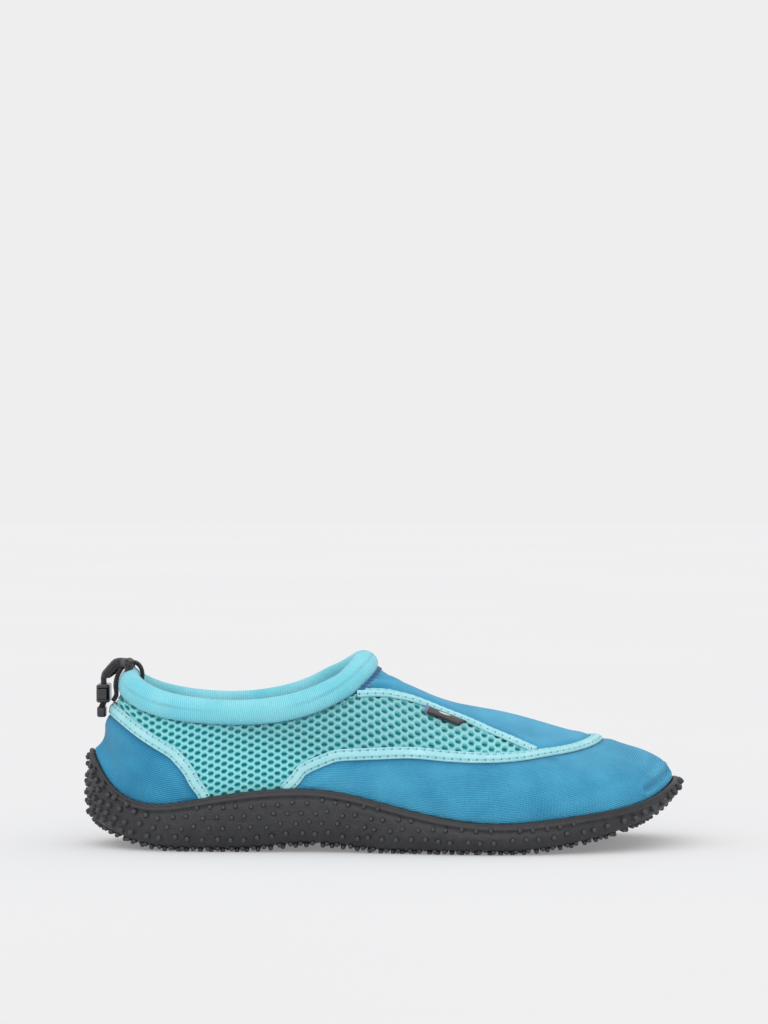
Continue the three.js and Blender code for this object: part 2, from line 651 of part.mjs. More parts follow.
// ---------------------------------------------------------------- cord lock, its button and spring, and the cord end
function roundedRectangle(width, height, radius) {
  const [w, h] = [width / 2 - radius, height / 2 - radius];
  const shape = new THREE.Shape();
  shape.absarc(w, h, radius, 0, Math.PI / 2);
  shape.absarc(-w, h, radius, Math.PI / 2, Math.PI);
  shape.absarc(-w, -h, radius, Math.PI, 1.5 * Math.PI);
  shape.absarc(w, -h, radius, 1.5 * Math.PI, 2 * Math.PI);
  return shape;
}
// A block with its corners rounded in plan (x across, y along) and bevelled at both ends of its height.
function block(width, length, height, radius, bevel) {
  const g = new THREE.ExtrudeGeometry(roundedRectangle(width - 2 * bevel, length - 2 * bevel, radius), {
    depth: height - 2 * bevel,
    bevelEnabled: bevel > 0,
    bevelThickness: bevel,
    bevelSize: bevel,
    bevelSegments: 1,
    curveSegments: 4,
  });
  return g.translate(0, 0, -height / 2 + bevel);
}
const cordRoom = 2 * (CORD_RADIUS + CLEARANCE);
const slotLength = CORD_SPACING + cordRoom;
const buttonDepth = LOCK_DEPTH - 2 * LOCK_WALL - 2 * CLEARANCE;
const WINDOW_WALL = 0.9;
const buttonInner = slotLength / 2 + WINDOW_WALL;
const springFrom = buttonInner + CLEARANCE;
const boreEnd = springFrom + SPRING_LENGTH + CLEARANCE;
const lockFrom = -(slotLength / 2 + BUTTON_TRAVEL + WINDOW_WALL + 0.4);
const lockTo = boreEnd + 1;
const lockMiddle = (lockFrom + lockTo) / 2;
const cordSlot = (height) => solid(block(cordRoom, slotLength, height, cordRoom / 2 - 0.01, 0));
const bore = solid(block(LOCK_DEPTH - 2 * LOCK_WALL, boreEnd - lockFrom + 2, BUTTON_HEIGHT + 2 * CLEARANCE, 0.5, 0));
const lockBody = solid(block(LOCK_DEPTH, lockTo - lockFrom, LOCK_HEIGHT, 1.6, LOCK_BEVEL))
  .translate(0, lockMiddle, 0)
  .subtract(cordSlot(LOCK_HEIGHT + 2))
  .subtract(bore.translate(0, (boreEnd + lockFrom - 2) / 2, 0))
  .translate(lockCentre.toArray());
const buttonFrom = lockFrom - BUTTON_TRAVEL - BUTTON_PROUD;
const buttonSlot = solid(block(cordRoom, slotLength + BUTTON_TRAVEL, LOCK_HEIGHT, cordRoom / 2 - 0.01, 0));
const button = solid(block(buttonDepth, buttonInner - buttonFrom, BUTTON_HEIGHT, 0.4, 0.2))
  .translate(0, (buttonInner + buttonFrom) / 2, 0)
  .subtract(buttonSlot.translate(0, -BUTTON_TRAVEL / 2, 0))
  .translate(lockCentre.toArray());

const SPRING_STEPS = 10;
const springPath = Array.from({ length: SPRING_TURNS * SPRING_STEPS + 1 }, (_, i) => {
  const angle = (2 * Math.PI * i) / SPRING_STEPS;
  const along = springFrom + SPRING_WIRE + ((SPRING_LENGTH - 2 * SPRING_WIRE) * i) / (SPRING_TURNS * SPRING_STEPS);
  return new THREE.Vector3(SPRING_RADIUS * Math.cos(angle), along, SPRING_RADIUS * Math.sin(angle)).add(lockCentre);
});
const spring = tube(springPath, SPRING_WIRE, 5);

const endBlock = block(CORD_END_DEPTH, CORD_END_WIDTH, CORD_END_HEIGHT, 1, 0.5);
const endSlot = solid(block(cordRoom, slotLength, 2 * (CORD_END_GRIP + CLEARANCE), cordRoom / 2 - 0.01, 0));
const cordEnd = solid(endBlock)
  .subtract(endSlot.translate(0, 0, CORD_END_HEIGHT / 2))
  .translate(cordEndX, 0, cordEndTop - CORD_END_HEIGHT / 2);

// ---------------------------------------------------------------- label, hanging from the lower edge of the tongue binding
const LABEL_TOP = 0.765; // height on the upper where the label starts
const labelLine = seamLine(TONGUE_SEAM, 10).filter(([, t]) => t < LABEL_TOP);
const labelRun = [];
let labelSoFar = 0;
for (const [i, [k, t]] of labelLine.entries()) {
  if (i) labelSoFar += surface(k, t).distanceTo(surface(...labelLine[i - 1]));
  if (labelSoFar <= LABEL_LENGTH) labelRun.push([k, t]);
}
const labelShift = -(TONGUE_BINDING_WIDTH / 2 + CLEARANCE + LABEL_WIDTH / 2);
const labelTape = solid(tape(labelRun, LABEL_WIDTH, CLEARANCE + LABEL_THICKNESS, -1, labelShift));
const label = largest(keptOff(labelTape.subtract(underTape), tongueBindingOuter));

// ---------------------------------------------------------------- the shoe
const RUBBER = ["#3b3c40", 0.75];
const BLUE_NEOPRENE = ["#3f92bd", 0.85];
const TURQUOISE = ["#8cd6e3", 0.8];
const MESH_TURQUOISE = ["#6ed7d7", 0.85];
const TEAL_LINING = ["#148c96", 0.9];
const BINDING_TAPE = ["#a8dde3", 0.7];
const BLACK_TEXTILE = ["#232024", 0.8];
const BLACK_PLASTIC = ["#2a282c", 0.35];
const STEEL = ["#b9bcc0", 0.3, 1];
const FOAM = ["#4c9fb4", 0.9];
const BOARD_FIBRE = ["#d8d4c8", 0.95];

const shoe = new THREE.Group();
shoe.name = "aqua_shoe";
function add(name, geometry, [color, roughness, metalness = 0]) {
  const g = geometry.isBufferGeometry ? geometry : geometryFrom(geometry);
  const mesh = new THREE.Mesh(g, new THREE.MeshStandardMaterial({ color, roughness, metalness }));
  mesh.name = name;
  shoe.add(mesh);
}

const liningDepth = -MESH_CLOTH - CLEARANCE - LINING / 2;
const innerSide = ([k, t]) => [-k, t];
add("outsole", outsole, RUBBER);
add("insole_board", plate(boardEdge, boardBottom, boardTop), BOARD_FIBRE);
add("footbed", plate(boardEdge - CLEARANCE, footbedBottom, footbedTop), FOAM);
add("toe_panel", pieceAt(neoprene, ...TOE_SPOT, 0), BLUE_NEOPRENE);
add("tongue_panel", pieceAt(neoprene, ...TONGUE_SPOT, 0), BLUE_NEOPRENE);
add("heel_panel", pieceAt(neoprene, ...HEEL_SPOT, 0), BLUE_NEOPRENE);
add("mesh_outer", pieceAt(meshCloth, ...SIDE_SPOT, 0), MESH_TURQUOISE);
add("mesh_inner", pieceAt(meshCloth, ...innerSide(SIDE_SPOT), 0), MESH_TURQUOISE);
add("lining_outer", pieceAt(lining, ...SIDE_SPOT, liningDepth), TEAL_LINING);
add("lining_inner", pieceAt(lining, ...innerSide(SIDE_SPOT), liningDepth), TEAL_LINING);
add("heel_binding", heelBinding, BINDING_TAPE);
add("toe_binding", toeBinding, BINDING_TAPE);
add("tongue_binding_outer", tongueBindingOuter, BINDING_TAPE);
add("tongue_binding_inner", tongueBindingInner, BINDING_TAPE);
add("side_label", label, BLACK_TEXTILE);
add("collar", collar, TURQUOISE);
add("drawcord", cord, BLACK_TEXTILE);
add("heel_strap", strap, BLACK_TEXTILE);
add("lock_body", lockBody, BLACK_PLASTIC);
add("lock_button", button, BLACK_PLASTIC);
add("lock_spring", spring, STEEL);
add("cord_end", cordEnd, BLACK_PLASTIC);

export default shoe;
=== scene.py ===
"""Looks of a slip-on aqua shoe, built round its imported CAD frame. Sizes are in millimetres until a mesh is made."""
import math

import bpy
import numpy as np
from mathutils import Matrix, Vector


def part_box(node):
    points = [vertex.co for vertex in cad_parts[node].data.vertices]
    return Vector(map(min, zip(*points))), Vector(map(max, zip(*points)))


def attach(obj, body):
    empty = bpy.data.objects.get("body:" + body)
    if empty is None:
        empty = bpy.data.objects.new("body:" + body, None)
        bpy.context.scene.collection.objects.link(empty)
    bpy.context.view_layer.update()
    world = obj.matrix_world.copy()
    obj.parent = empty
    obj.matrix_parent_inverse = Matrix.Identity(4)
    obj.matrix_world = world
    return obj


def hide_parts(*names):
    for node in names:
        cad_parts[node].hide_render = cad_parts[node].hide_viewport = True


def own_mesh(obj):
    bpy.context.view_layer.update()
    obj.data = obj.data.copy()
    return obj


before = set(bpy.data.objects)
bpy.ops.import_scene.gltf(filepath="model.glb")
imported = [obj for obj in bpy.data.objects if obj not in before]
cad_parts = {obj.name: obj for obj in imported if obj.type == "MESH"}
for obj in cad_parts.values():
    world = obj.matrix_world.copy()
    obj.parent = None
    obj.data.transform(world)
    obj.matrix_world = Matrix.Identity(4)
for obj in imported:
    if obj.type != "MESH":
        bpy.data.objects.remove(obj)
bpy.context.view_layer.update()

MM = 0.001

# ---------------------------------------------------------------- the shoe's sizes, as in the CAD source
CLEARANCE = 0.3
NUB_HEIGHT = 1.5
TOE_SPRING, HEEL_BEVEL, ARCH_RISE = 24, 11.4, 2.6
CUP_FLOOR, CUP_HEEL_LIFT, CUP_CLEARANCE = 5.5, 2.5, 0.5
CUP_BULGE, RIM_WALL, TUCK = 3.4, 2.1, 2.2
NEOPRENE, MESH_CLOTH, LINING = 2.4, 1.1, 0.9
BINDING_WIDTH, TONGUE_BINDING_WIDTH = 5.2, 4.8
SEAM_GAP = 0.4
BOARD, FOOTBED = 1.2, 4
COLLAR_HALF_WIDTH = 4.2
CORD_RADIUS, CORD_SPACING, CORD_EXIT = 1.2, 2.7, 0.42
STRAP_WIDTH, STRAP_CLEARANCE = 6.4, 0.45
LOCK_DEPTH, LOCK_HEIGHT, LOCK_BEHIND = 6, 8, 4.3
LOCK_TRAVEL, CORD_END_GRIP = 2.5, 3
LABEL_LENGTH, LABEL_TOP = 19.5, 0.765

# Rim x, z, outer y, inner y; collar x, z, half width; toe share, heel share, roll half height, fullness,
# inner collar z.
STATIONS = np.array([
    [128.1, 29.3, 8, 8, -4, 78, 0, 1, 0, 5.4, 0, 78],
    [121.5, 25.2, -13, 27, -5, 76.2, 6.5, 1, 0, 5.4, 0.8, 77.4],
    [105, 19.9, -31, 40.5, -8.8, 72.4, 12, 0.92, 0, 5.4, 2.6, 74.9],
    [76, 15.8, -42, 45, -14, 68, 17, 0.7, 0, 5.4, 4.6, 71.4],
    [42, 14.1, -45, 42.8, -22, 63.5, 21.5, 0.35, 0, 5.5, 4.6, 66.6],
    [5, 20.7, -39.5, 33, -36, 58.3, 25.5, 0.1, 0, 5.5, 2.5, 60],
    [-30, 27.6, -34, 28.5, -56, 55.4, 27.5, 0, 0, 5.3, 0.5, 56],
    [-70, 25, -32.5, 31, -78, 55.8, 27.5, 0, 0, 5.3, 0, 55.8],
    [-100, 20.8, -28.5, 28.5, -98, 58.4, 23.5, 0, 0.2, 5.7, 0, 58.4],
    [-119.5, 29, -17, 17, -111.5, 63.2, 13.5, 0, 0.7, 6.4, 0, 63.2],
    [-128.1, 42.5, 0, 0, -117, 66.3, 0, 0, 1, 7, 0, 66.3],
])
LAST = len(STATIONS) - 1
LOOP = 2 * LAST
TOE_IN, TOE_UP = [0, 0.045, 0.165, 0.35, 0.56, 0.76, 0.91, 1], [0, 0.165, 0.3, 0.43, 0.59, 0.7, 0.87, 1]
SIDE_IN, SIDE_UP = [0, -0.1, -0.1, 0, 0.18, 0.42, 0.7, 1], [0, 0.143, 0.286, 0.429, 0.571, 0.714, 0.857, 1]
HEEL_IN, HEEL_UP = [0, 0.3, 0.4, 0.44, 0.52, 0.66, 0.82, 1], [0, 0.13, 0.27, 0.41, 0.57, 0.72, 0.86, 1]
HEEL_SEAM = [[7.12, -1.1], [7.15, -0.6], [7.19, -0.2], [7.25, 0.04], [7.36, 0.2], [7.45, 0.366], [7.59, 0.522],
             [7.8, 0.638], [8.32, 0.746], [9.03, 0.791], [9.6, 0.762], [10, 0.745]]
TOE_SEAM = [[6.34, -1.1], [6.34, -0.6], [6.34, -0.2], [6.32, 0], [6.26, 0.181], [6.14, 0.323], [5.8, 0.466],
            [5.44, 0.517], [4.71, 0.533], [4.27, 0.499], [3.68, 0.446], [2.96, 0.408], [2.23, 0.398], [1.39, 0.378],
            [0.68, 0.363], [0, 0.36]]
TONGUE_SEAM = [[3.2, 1.06], [3.04, 1.002], [2.09, 0.886], [1.69, 0.833], [1.3, 0.738], [1.97, 0.599],
               [2.23, 0.52], [2.33, 0.38]]


def unit(v):
    return v / np.maximum(np.linalg.norm(v, axis=-1, keepdims=True), 1e-12)


def mix(a, b, share):
    return a + (b - a) * share


def smooth(x):
    c = np.clip(x, 0, 1)
    return c * c * (3 - 2 * c)


def hill(x, width):
    return np.exp(-((x / width) ** 2))


def run_along(points):
    """The distance along a line of points, at each of them."""
    return np.r_[0, np.cumsum(np.linalg.norm(np.diff(points, axis=0), axis=1))]


def spline(values, closed=False):
    """The cubic B-spline that passes through the values, as a function of their number."""
    v = np.array(values, float)
    c, n = v.copy(), len(v)
    for _ in range(40):
        before = np.roll(c, 1) if closed else np.r_[2 * c[0] - c[1], c[:-1]]
        after = np.roll(c, -1) if closed else np.r_[c[1:], 2 * c[-1] - c[-2]]
        c = (6 * v - before - after) / 4
    ends = np.r_[2 * c[0] - c[1], c, 2 * c[-1] - c[-2]]

    def at(i):
        return c[i % n] if closed else ends[np.clip(i + 1, 0, n + 1)]

    def value(u):
        u = np.asarray(u, float)
        i = np.floor(u).astype(int)
        if not closed:
            i = np.clip(i, 0, n - 2)
        f = u - i
        g = 1 - f
        return (g**3 * at(i - 1) + (3 * f**3 - 6 * f**2 + 4) * at(i)
                + (3 * g**3 - 6 * g**2 + 4) * at(i + 1) + f**3 * at(i + 2)) / 6

    return value


def around(outer, inner=None, sign=1, scale=1):
    inner = outer if inner is None else inner
    return spline(np.r_[STATIONS[:, outer], sign * STATIONS[1:LAST, inner][::-1]] * scale, closed=True)


rim_x, rim_z, rim_y = around(0), around(1), around(2, 3)
collar_x, collar_z, collar_y = around(4), around(5, 11), around(6, 6, -1, -1)
toe_share, heel_share, roll_half_height, fullness = around(7), around(8), around(9), around(10)
PROFILES = [spline(p) for p in (TOE_IN, TOE_UP, SIDE_IN, SIDE_UP, HEEL_IN, HEEL_UP)]


def ground_at(x):
    toe, heel = np.maximum(0, (x - 48) / 83), np.maximum(0, (-88 - x) / 43.5)
    arch = np.clip((x + 66) / 70, 0, 1)
    return (TOE_SPRING * (0.74 * toe**1.9 + 0.26 * toe**10) + HEEL_BEVEL * heel**2
            + ARCH_RISE * np.sin(np.pi * arch) ** 2)


def floor_at(x):
    return ground_at(x) + CUP_FLOOR + CUP_HEEL_LIFT * smooth((-10 - x) / 50)


def sole_at(x):
    return ground_at(x) + NUB_HEIGHT


def rim_point(k):
    return np.stack([rim_x(k), rim_y(k), rim_z(k)], -1)


def plan_normal(k):
    along = rim_point(k + 0.01) - rim_point(k - 0.01)
    return unit(np.stack([-along[..., 1], along[..., 0], 0 * along[..., 0]], -1))


def surface(k, t):
    """The upper's outer surface at station k and height t: -1 on the cup's floor, 0 at the rim, 1 at the collar."""
    k, t = np.broadcast_arrays(np.asarray(k, float), np.asarray(t, float))
    rim = rim_point(k)
    tucked = rim - plan_normal(k) * TUCK
    tucked[..., 2] = floor_at(tucked[..., 0]) + CLEARANCE
    below = rim + (tucked - rim) * np.maximum(-t, 0)[..., None]
    toe, heel = toe_share(k), heel_share(k)
    side = 1 - toe - heel
    u = np.maximum(t, 0) * (len(TOE_IN) - 1)
    inward = toe * PROFILES[0](u) + side * PROFILES[2](u) + heel * PROFILES[4](u)
    up = toe * PROFILES[1](u) + side * PROFILES[3](u) + heel * PROFILES[5](u)
    upper = np.stack([mix(rim[..., 0], collar_x(k), inward), mix(rim[..., 1], collar_y(k), inward),
                      mix(rim[..., 2], collar_z(k), up) + fullness(k) * np.sin(np.pi * t)], -1)
    return np.where((t < 0)[..., None], below, upper)


def frame_at(k, t):
    """Point, tangent along the shoe, tangent up it, and the normal outwards."""
    k, t = np.broadcast_arrays(np.asarray(k, float), np.asarray(t, float))
    step = 0.004
    above = np.where(t < 0, np.minimum(t + step, 0), t + step)
    below = np.where(t < 0, t - step, np.maximum(t - step, 0))
    along_k = (surface(k + step, t) - surface(k - step, t)) / (2 * step)
    along_t = (surface(k, above) - surface(k, below)) / (above - below)[..., None]
    return surface(k, t), along_k, along_t, unit(np.cross(along_t, along_k))


def offset(k, t, lift):
    point, _, _, normal = frame_at(k, t)
    return point + normal * np.asarray(lift, float)[..., None]


def nearest(point, k, t):
    """The place on the surface nearest to each point, looked for from (k, t)."""
    for _ in range(4):
        here, along_k, along_t, _ = frame_at(k, t)
        left = point - here
        kk, tt, kt = (along_k**2).sum(-1), (along_t**2).sum(-1), (along_k * along_t).sum(-1)
        dk, dt = (left * along_k).sum(-1), (left * along_t).sum(-1)
        scale = 1 / (kk * tt - kt * kt)
        k, t = k + (dk * tt - dt * kt) * scale, t + (dt * kk - dk * kt) * scale
    return k, t


def roll_frame(k):
    point, along_k, along_t, _ = frame_at(k, np.ones_like(k))
    toe, heel = toe_share(k), heel_share(k)
    upright = (0.85 * (1 - toe - heel) + 0.25 * toe + 0.3 * heel)[..., None]
    up = unit(mix(unit(along_t), np.array([0, 0, 1.0]), upright))
    out = unit(np.cross(up, along_k))
    centre = point + up * (roll_half_height(k) + CLEARANCE)[..., None] - out * NEOPRENE / 2
    return centre, up, out


def roll_point(k, angle, lift=0.0):
    k, angle, lift = np.broadcast_arrays(np.asarray(k, float), np.asarray(angle, float), np.asarray(lift, float))
    centre, up, out = roll_frame(k)
    return (centre + out * ((COLLAR_HALF_WIDTH + lift) * np.cos(angle))[..., None]
            + up * ((roll_half_height(k) + lift) * np.sin(angle))[..., None])


# ---------------------------------------------------------------- flat meshes in (station, height), cut along seams
def seam_line(points, fine=12):
    p = np.array(points, float)
    u = np.linspace(0, len(p) - 1, (len(p) - 1) * fine + 1)
    return np.stack([spline(p[:, 0])(u), spline(p[:, 1])(u)], -1)


def both_sides(line, about):
    return np.vstack([line, (line * [-1, 1] + [2 * about, 0])[::-1][1:]])


heel_seam = both_sides(seam_line(HEEL_SEAM), LAST)
toe_seam = both_sides(seam_line(TOE_SEAM), 0)
tongue_seam = seam_line(TONGUE_SEAM)
tongue_seam_inner = tongue_seam * [-1, 1]
tongue_outline = np.vstack([tongue_seam, [[2.33, 0.2], [-2.33, 0.2]], tongue_seam_inner[::-1]])


def inside(points, polygon):
    x, y = points[:, 0], points[:, 1]
    found = np.zeros(len(points), bool)
    for (ax, ay), (bx, by) in zip(polygon, np.roll(polygon, -1, 0)):
        if ay != by:
            found ^= ((ay > y) != (by > y)) & (x < (bx - ax) * (y - ay) / (by - ay) + ax)
    return found


def distance_to(points, line):
    """Distance of each point to the nearest part of a line of points."""
    a, d = line[:-1], np.diff(line, axis=0)
    length = np.maximum((d**2).sum(1), 1e-12)
    best = np.full(len(points), np.inf)
    for chunk in range(0, len(points), 4000):
        p = points[chunk:chunk + 4000, None, :] - a
        s = np.clip((p * d).sum(2) / length, 0, 1)
        best[chunk:chunk + 4000] = np.linalg.norm(p - d * s[..., None], axis=2).min(1)
    return best


def seam_points(line):
    return surface(line[:, 0], line[:, 1])


def side_of(kt, seams, outline):
    """Signed distance to seams, in millimetres: positive inside the outline."""
    points = surface(kt[:, 0], kt[:, 1])
    near = np.min([distance_to(points, seam_points(s)) for s in seams], axis=0)
    return np.where(inside(kt, outline), near, -near)


def wrapped(kt):
    """Stations from -10 to 10 instead of from 0 to 20, for what is near the toe."""
    return np.stack([(kt[:, 0] + LAST) % LOOP - LAST, kt[:, 1]], -1)


def toe_side(kt):
    return side_of(wrapped(kt), [toe_seam], toe_seam)


def heel_side(kt):
    return side_of(np.stack([kt[:, 0] % LOOP, kt[:, 1]], -1), [heel_seam], heel_seam)


def tongue_side(kt):
    return side_of(wrapped(kt), [tongue_seam, tongue_seam_inner], tongue_outline)


def grid(columns, rows):
    """Triangles between two lists of values: vertices [column, row] and faces."""
    a, b = len(columns), len(rows)
    kt = np.stack(np.meshgrid(columns, rows, indexing="ij"), -1).reshape(-1, 2)
    return kt, grid_faces(a, b)


def grid_faces(a, b, closed_a=False, closed_b=False):
    """Triangles between a rows of b points; a closed direction runs on from its last to its first."""
    i, j = np.meshgrid(np.arange(a if closed_a else a - 1), np.arange(b if closed_b else b - 1), indexing="ij")
    i, j = i.ravel(), j.ravel()
    n, m = (i + 1) % a, (j + 1) % b
    p, q, r, s = i * b + j, n * b + j, n * b + m, i * b + m
    return np.vstack([np.stack([p, q, r], 1), np.stack([p, r, s], 1)])


def outward(points, tri):
    """The faces of a closed body, turned so that they face outwards."""
    a, b, c = (points[tri[:, n]] for n in range(3))
    return tri if (a * np.cross(b, c)).sum() > 0 else tri[:, ::-1]


def compact(v, tri):
    used, tri = np.unique(tri, return_inverse=True)
    return v[used], tri.reshape(-1, 3)


def clip(v, tri, f):
    """What is left of a mesh where f is positive, cut cleanly along f = 0."""
    f = np.where(np.abs(f) < 1e-6, 1e-6, f)
    count = (f[tri] > 0).sum(1)
    rows, made, out = [], {}, [tri[count == 3]]

    def crossing(a, b):
        key = (a, b) if a < b else (b, a)
        if key not in made:
            share = f[key[0]] / (f[key[0]] - f[key[1]])
            made[key] = len(v) + len(rows)
            rows.append(v[key[0]] + (v[key[1]] - v[key[0]]) * share)
        return made[key]

    cut = []
    for a, b, c in tri[(count == 1) | (count == 2)]:
        positive = (f[a] > 0).astype(int) + (f[b] > 0).astype(int) + (f[c] > 0).astype(int) == 1
        while (f[a] > 0) != positive or (f[b] > 0) == positive or (f[c] > 0) == positive:
            a, b, c = b, c, a
        ab, ca = crossing(a, b), crossing(c, a)
        cut += [(a, ab, ca)] if positive else [(ab, b, c), (ab, c, ca)]
    if cut:
        out.append(np.array(cut))
        v = np.vstack([v, rows])
    return compact(v, np.vstack(out))


def thicken(tri, count):
    """Faces of a closed body: a front sheet, its copy behind, and walls along the open edges."""
    edges = np.vstack([tri[:, [0, 1]], tri[:, [1, 2]], tri[:, [2, 0]]])
    key = edges.min(1) * count + edges.max(1)
    _, first, times = np.unique(key, return_index=True, return_counts=True)
    a, b = edges[first[times == 1]].T
    walls = [np.stack([b, a, a + count], 1), np.stack([b, a + count, b + count], 1)]
    return np.vstack([tri, tri[:, ::-1] + count, *walls])


# ---------------------------------------------------------------- Blender objects
def smooth_mesh(name, points, tri, lay=None, angle=40):
    mesh = bpy.data.meshes.new(name)
    mesh.vertices.add(len(points))
    mesh.vertices.foreach_set("co", (np.asarray(points) * MM).astype(np.float32).ravel())
    mesh.loops.add(3 * len(tri))
    mesh.loops.foreach_set("vertex_index", np.asarray(tri, np.int32).ravel())
    mesh.polygons.add(len(tri))
    mesh.polygons.foreach_set("loop_start", np.arange(0, 3 * len(tri), 3, dtype=np.int32))
    mesh.polygons.foreach_set("loop_total", np.full(len(tri), 3, np.int32))
    mesh.update(calc_edges=True)
    mesh.polygons.foreach_set("use_smooth", np.ones(len(tri), bool))
    if lay is not None:
        attribute = mesh.attributes.new("lay", "FLOAT_VECTOR", "POINT")
        attribute.data.foreach_set("vector", lay.astype(np.float32).ravel())
    mesh.validate()
    if angle:
        mesh.set_sharp_from_angle(angle=math.radians(angle))
    obj = bpy.data.objects.new(name, mesh)
    bpy.context.scene.collection.objects.link(obj)
    return obj


def piece(name, points, tri, material, replaces=(), slot=None, body="shoe", lay=None, angle=40):
    obj = smooth_mesh(name, points, tri, lay, angle)
    obj.data.materials.append(material)
    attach(obj, body)
    if replaces:
        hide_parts(*([replaces] if isinstance(replaces, str) else replaces))
    return obj


# Lengths over the surface: along the shoe at mid height from the toe, and up it from the rim.
TABLE_K = np.linspace(-LAST, LAST, 401)
TABLE_T = np.linspace(0, 1.1, 111)
_points = surface(TABLE_K[:, None], TABLE_T[None, :])
_ups = np.cumsum(np.linalg.norm(np.diff(_points, axis=1), axis=2), axis=1)
UP_TABLE = np.hstack([np.zeros((len(TABLE_K), 1)), _ups])
_along = run_along(_points[:, 40])
ALONG_TABLE = _along - np.interp(0, TABLE_K, _along)


def measure(k, t):
    """[millimetres along the shoe, millimetres up it] of places on the surface."""
    k = (k + LAST) % LOOP - LAST
    i = np.clip((k - TABLE_K[0]) / (TABLE_K[1] - TABLE_K[0]), 0, len(TABLE_K) - 1.001)
    j = np.clip(t / TABLE_T[1], 0, len(TABLE_T) - 1.001)
    a, b = i.astype(int), j.astype(int)
    p, q = i - a, j - b
    low = mix(UP_TABLE[a, b], UP_TABLE[a + 1, b], p)
    high = mix(UP_TABLE[a, b + 1], UP_TABLE[a + 1, b + 1], p)
    return np.interp(k, TABLE_K, ALONG_TABLE), mix(low, high, q) + np.minimum(t, 0) * 10


# ---------------------------------------------------------------- finishes: node materials, measured in millimetres
def rgb(r, g, b):
    return tuple(c / 3294.6 if c <= 10.31 else ((c / 255 + 0.055) / 1.055) ** 2.4 for c in (r, g, b)) + (1,)


class Finish:
    """A Principled material and the nodes that feed it."""

    def __init__(self, name, roughness, **sockets):
        self.material = bpy.data.materials.new(name)
        self.material.use_nodes = True
        self.tree = self.material.node_tree
        self.shader = self.tree.nodes["Principled BSDF"]
        self.shader.inputs["Roughness"].default_value = roughness
        for socket, value in sockets.items():
            self.shader.inputs[socket.replace("_", " ")].default_value = value
        place = self.node("ShaderNodeTexCoord").outputs["Object"]
        self.place = self.node("ShaderNodeVectorMath", place, None, None, 1 / MM, operation="SCALE").outputs[0]

    def node(self, kind, *inputs, **settings):
        made = self.tree.nodes.new(kind)
        for key, value in settings.items():
            setattr(made, key, value)
        for socket, value in zip(made.inputs, inputs):
            self.put(socket, value)
        return made

    def put(self, socket, value):
        if isinstance(value, bpy.types.NodeSocket):
            self.tree.links.new(value, socket)
        elif value is not None:
            socket.default_value = value

    def math(self, operation, *inputs, clamp=False):
        return self.node("ShaderNodeMath", *inputs, operation=operation, use_clamp=clamp).outputs[0]

    def sum(self, *terms):
        """The sum of (value, factor) pairs."""
        total = self.math("MULTIPLY", *terms[0])
        for value, factor in terms[1:]:
            total = self.math("MULTIPLY_ADD", value, factor, total)
        return total

    def lay(self):
        """The three numbers that a mesh carries at each point."""
        attribute = self.node("ShaderNodeAttribute", attribute_name="lay").outputs["Vector"]
        return self.node("ShaderNodeSeparateXYZ", attribute).outputs

    def wave(self, value, pitch):
        return self.math("SINE", self.math("MULTIPLY", value, 2 * math.pi / pitch))

    def noise(self, scale, detail=2.0, vector=None):
        made = self.node("ShaderNodeTexNoise", vector or self.place)
        made.inputs["Scale"].default_value = scale
        made.inputs["Detail"].default_value = detail
        return made.outputs[0]

    def step(self, value, low, high):
        """0 below low, 1 above high, smooth between."""
        made = self.node("ShaderNodeMapRange", value, low, high, interpolation_type="SMOOTHSTEP")
        return made.outputs[0]

    def mix(self, share, a, b):
        made = self.node("ShaderNodeMix", data_type="RGBA")
        for index, value in ((0, share), (6, a), (7, b)):
            self.put(made.inputs[index], value)
        return made.outputs[2]

    def colour(self, value):
        self.put(self.shader.inputs["Base Color"], value)
        return self

    def rough(self, value):
        self.put(self.shader.inputs["Roughness"], value)
        return self

    def bump(self, height, distance=1.0):
        """height is in millimetres, times distance."""
        made = self.node("ShaderNodeBump")
        made.inputs["Distance"].default_value = distance * MM
        made.inputs["Strength"].default_value = 1
        self.put(made.inputs["Height"], height)
        self.put(self.shader.inputs["Normal"], made.outputs[0])
        return self

    def shade(self, low, high, dark, light, *terms):
        """From dark to light as the sum of the (value, factor) pairs goes from low to high."""
        return self.colour(self.mix(self.step(self.sum(*terms), low, high), dark, light))

    def relief(self, *terms):
        return self.bump(self.sum(*terms))


def ribbed(name, light, dark, pitch, slant, depth=0.07, sheen=0.12):
    """Knitted cloth over foam: fine ribs, `slant` up for each millimetre along."""
    f = Finish(name, 0.82, Sheen_Weight=sheen, Sheen_Roughness=0.45, Specular_IOR_Level=0.25)
    along, up, near = f.lay()
    across = f.sum((up, 1.0), (along, slant), (f.noise(0.12), 1.1))
    rib = f.wave(across, pitch)
    loop = f.wave(f.sum((along, 1.0), (rib, 0.1)), pitch * 1.15)
    fuzz = f.noise(2.6, 3)
    soft = f.noise(0.05, 3)
    # Cloth within about 7 mm of a seam is painted darker: painted shade beside the tapes.
    f.shade(0.3, 1.15, dark, light,
            (rib, 0.17), (loop, 0.05), (fuzz, 0.55), (soft, 0.7), (f.step(near, 2.4, 7.0), 0.16))
    return f.relief((rib, depth), (loop, depth * 0.4), (fuzz, 0.1), (soft, 0.3))


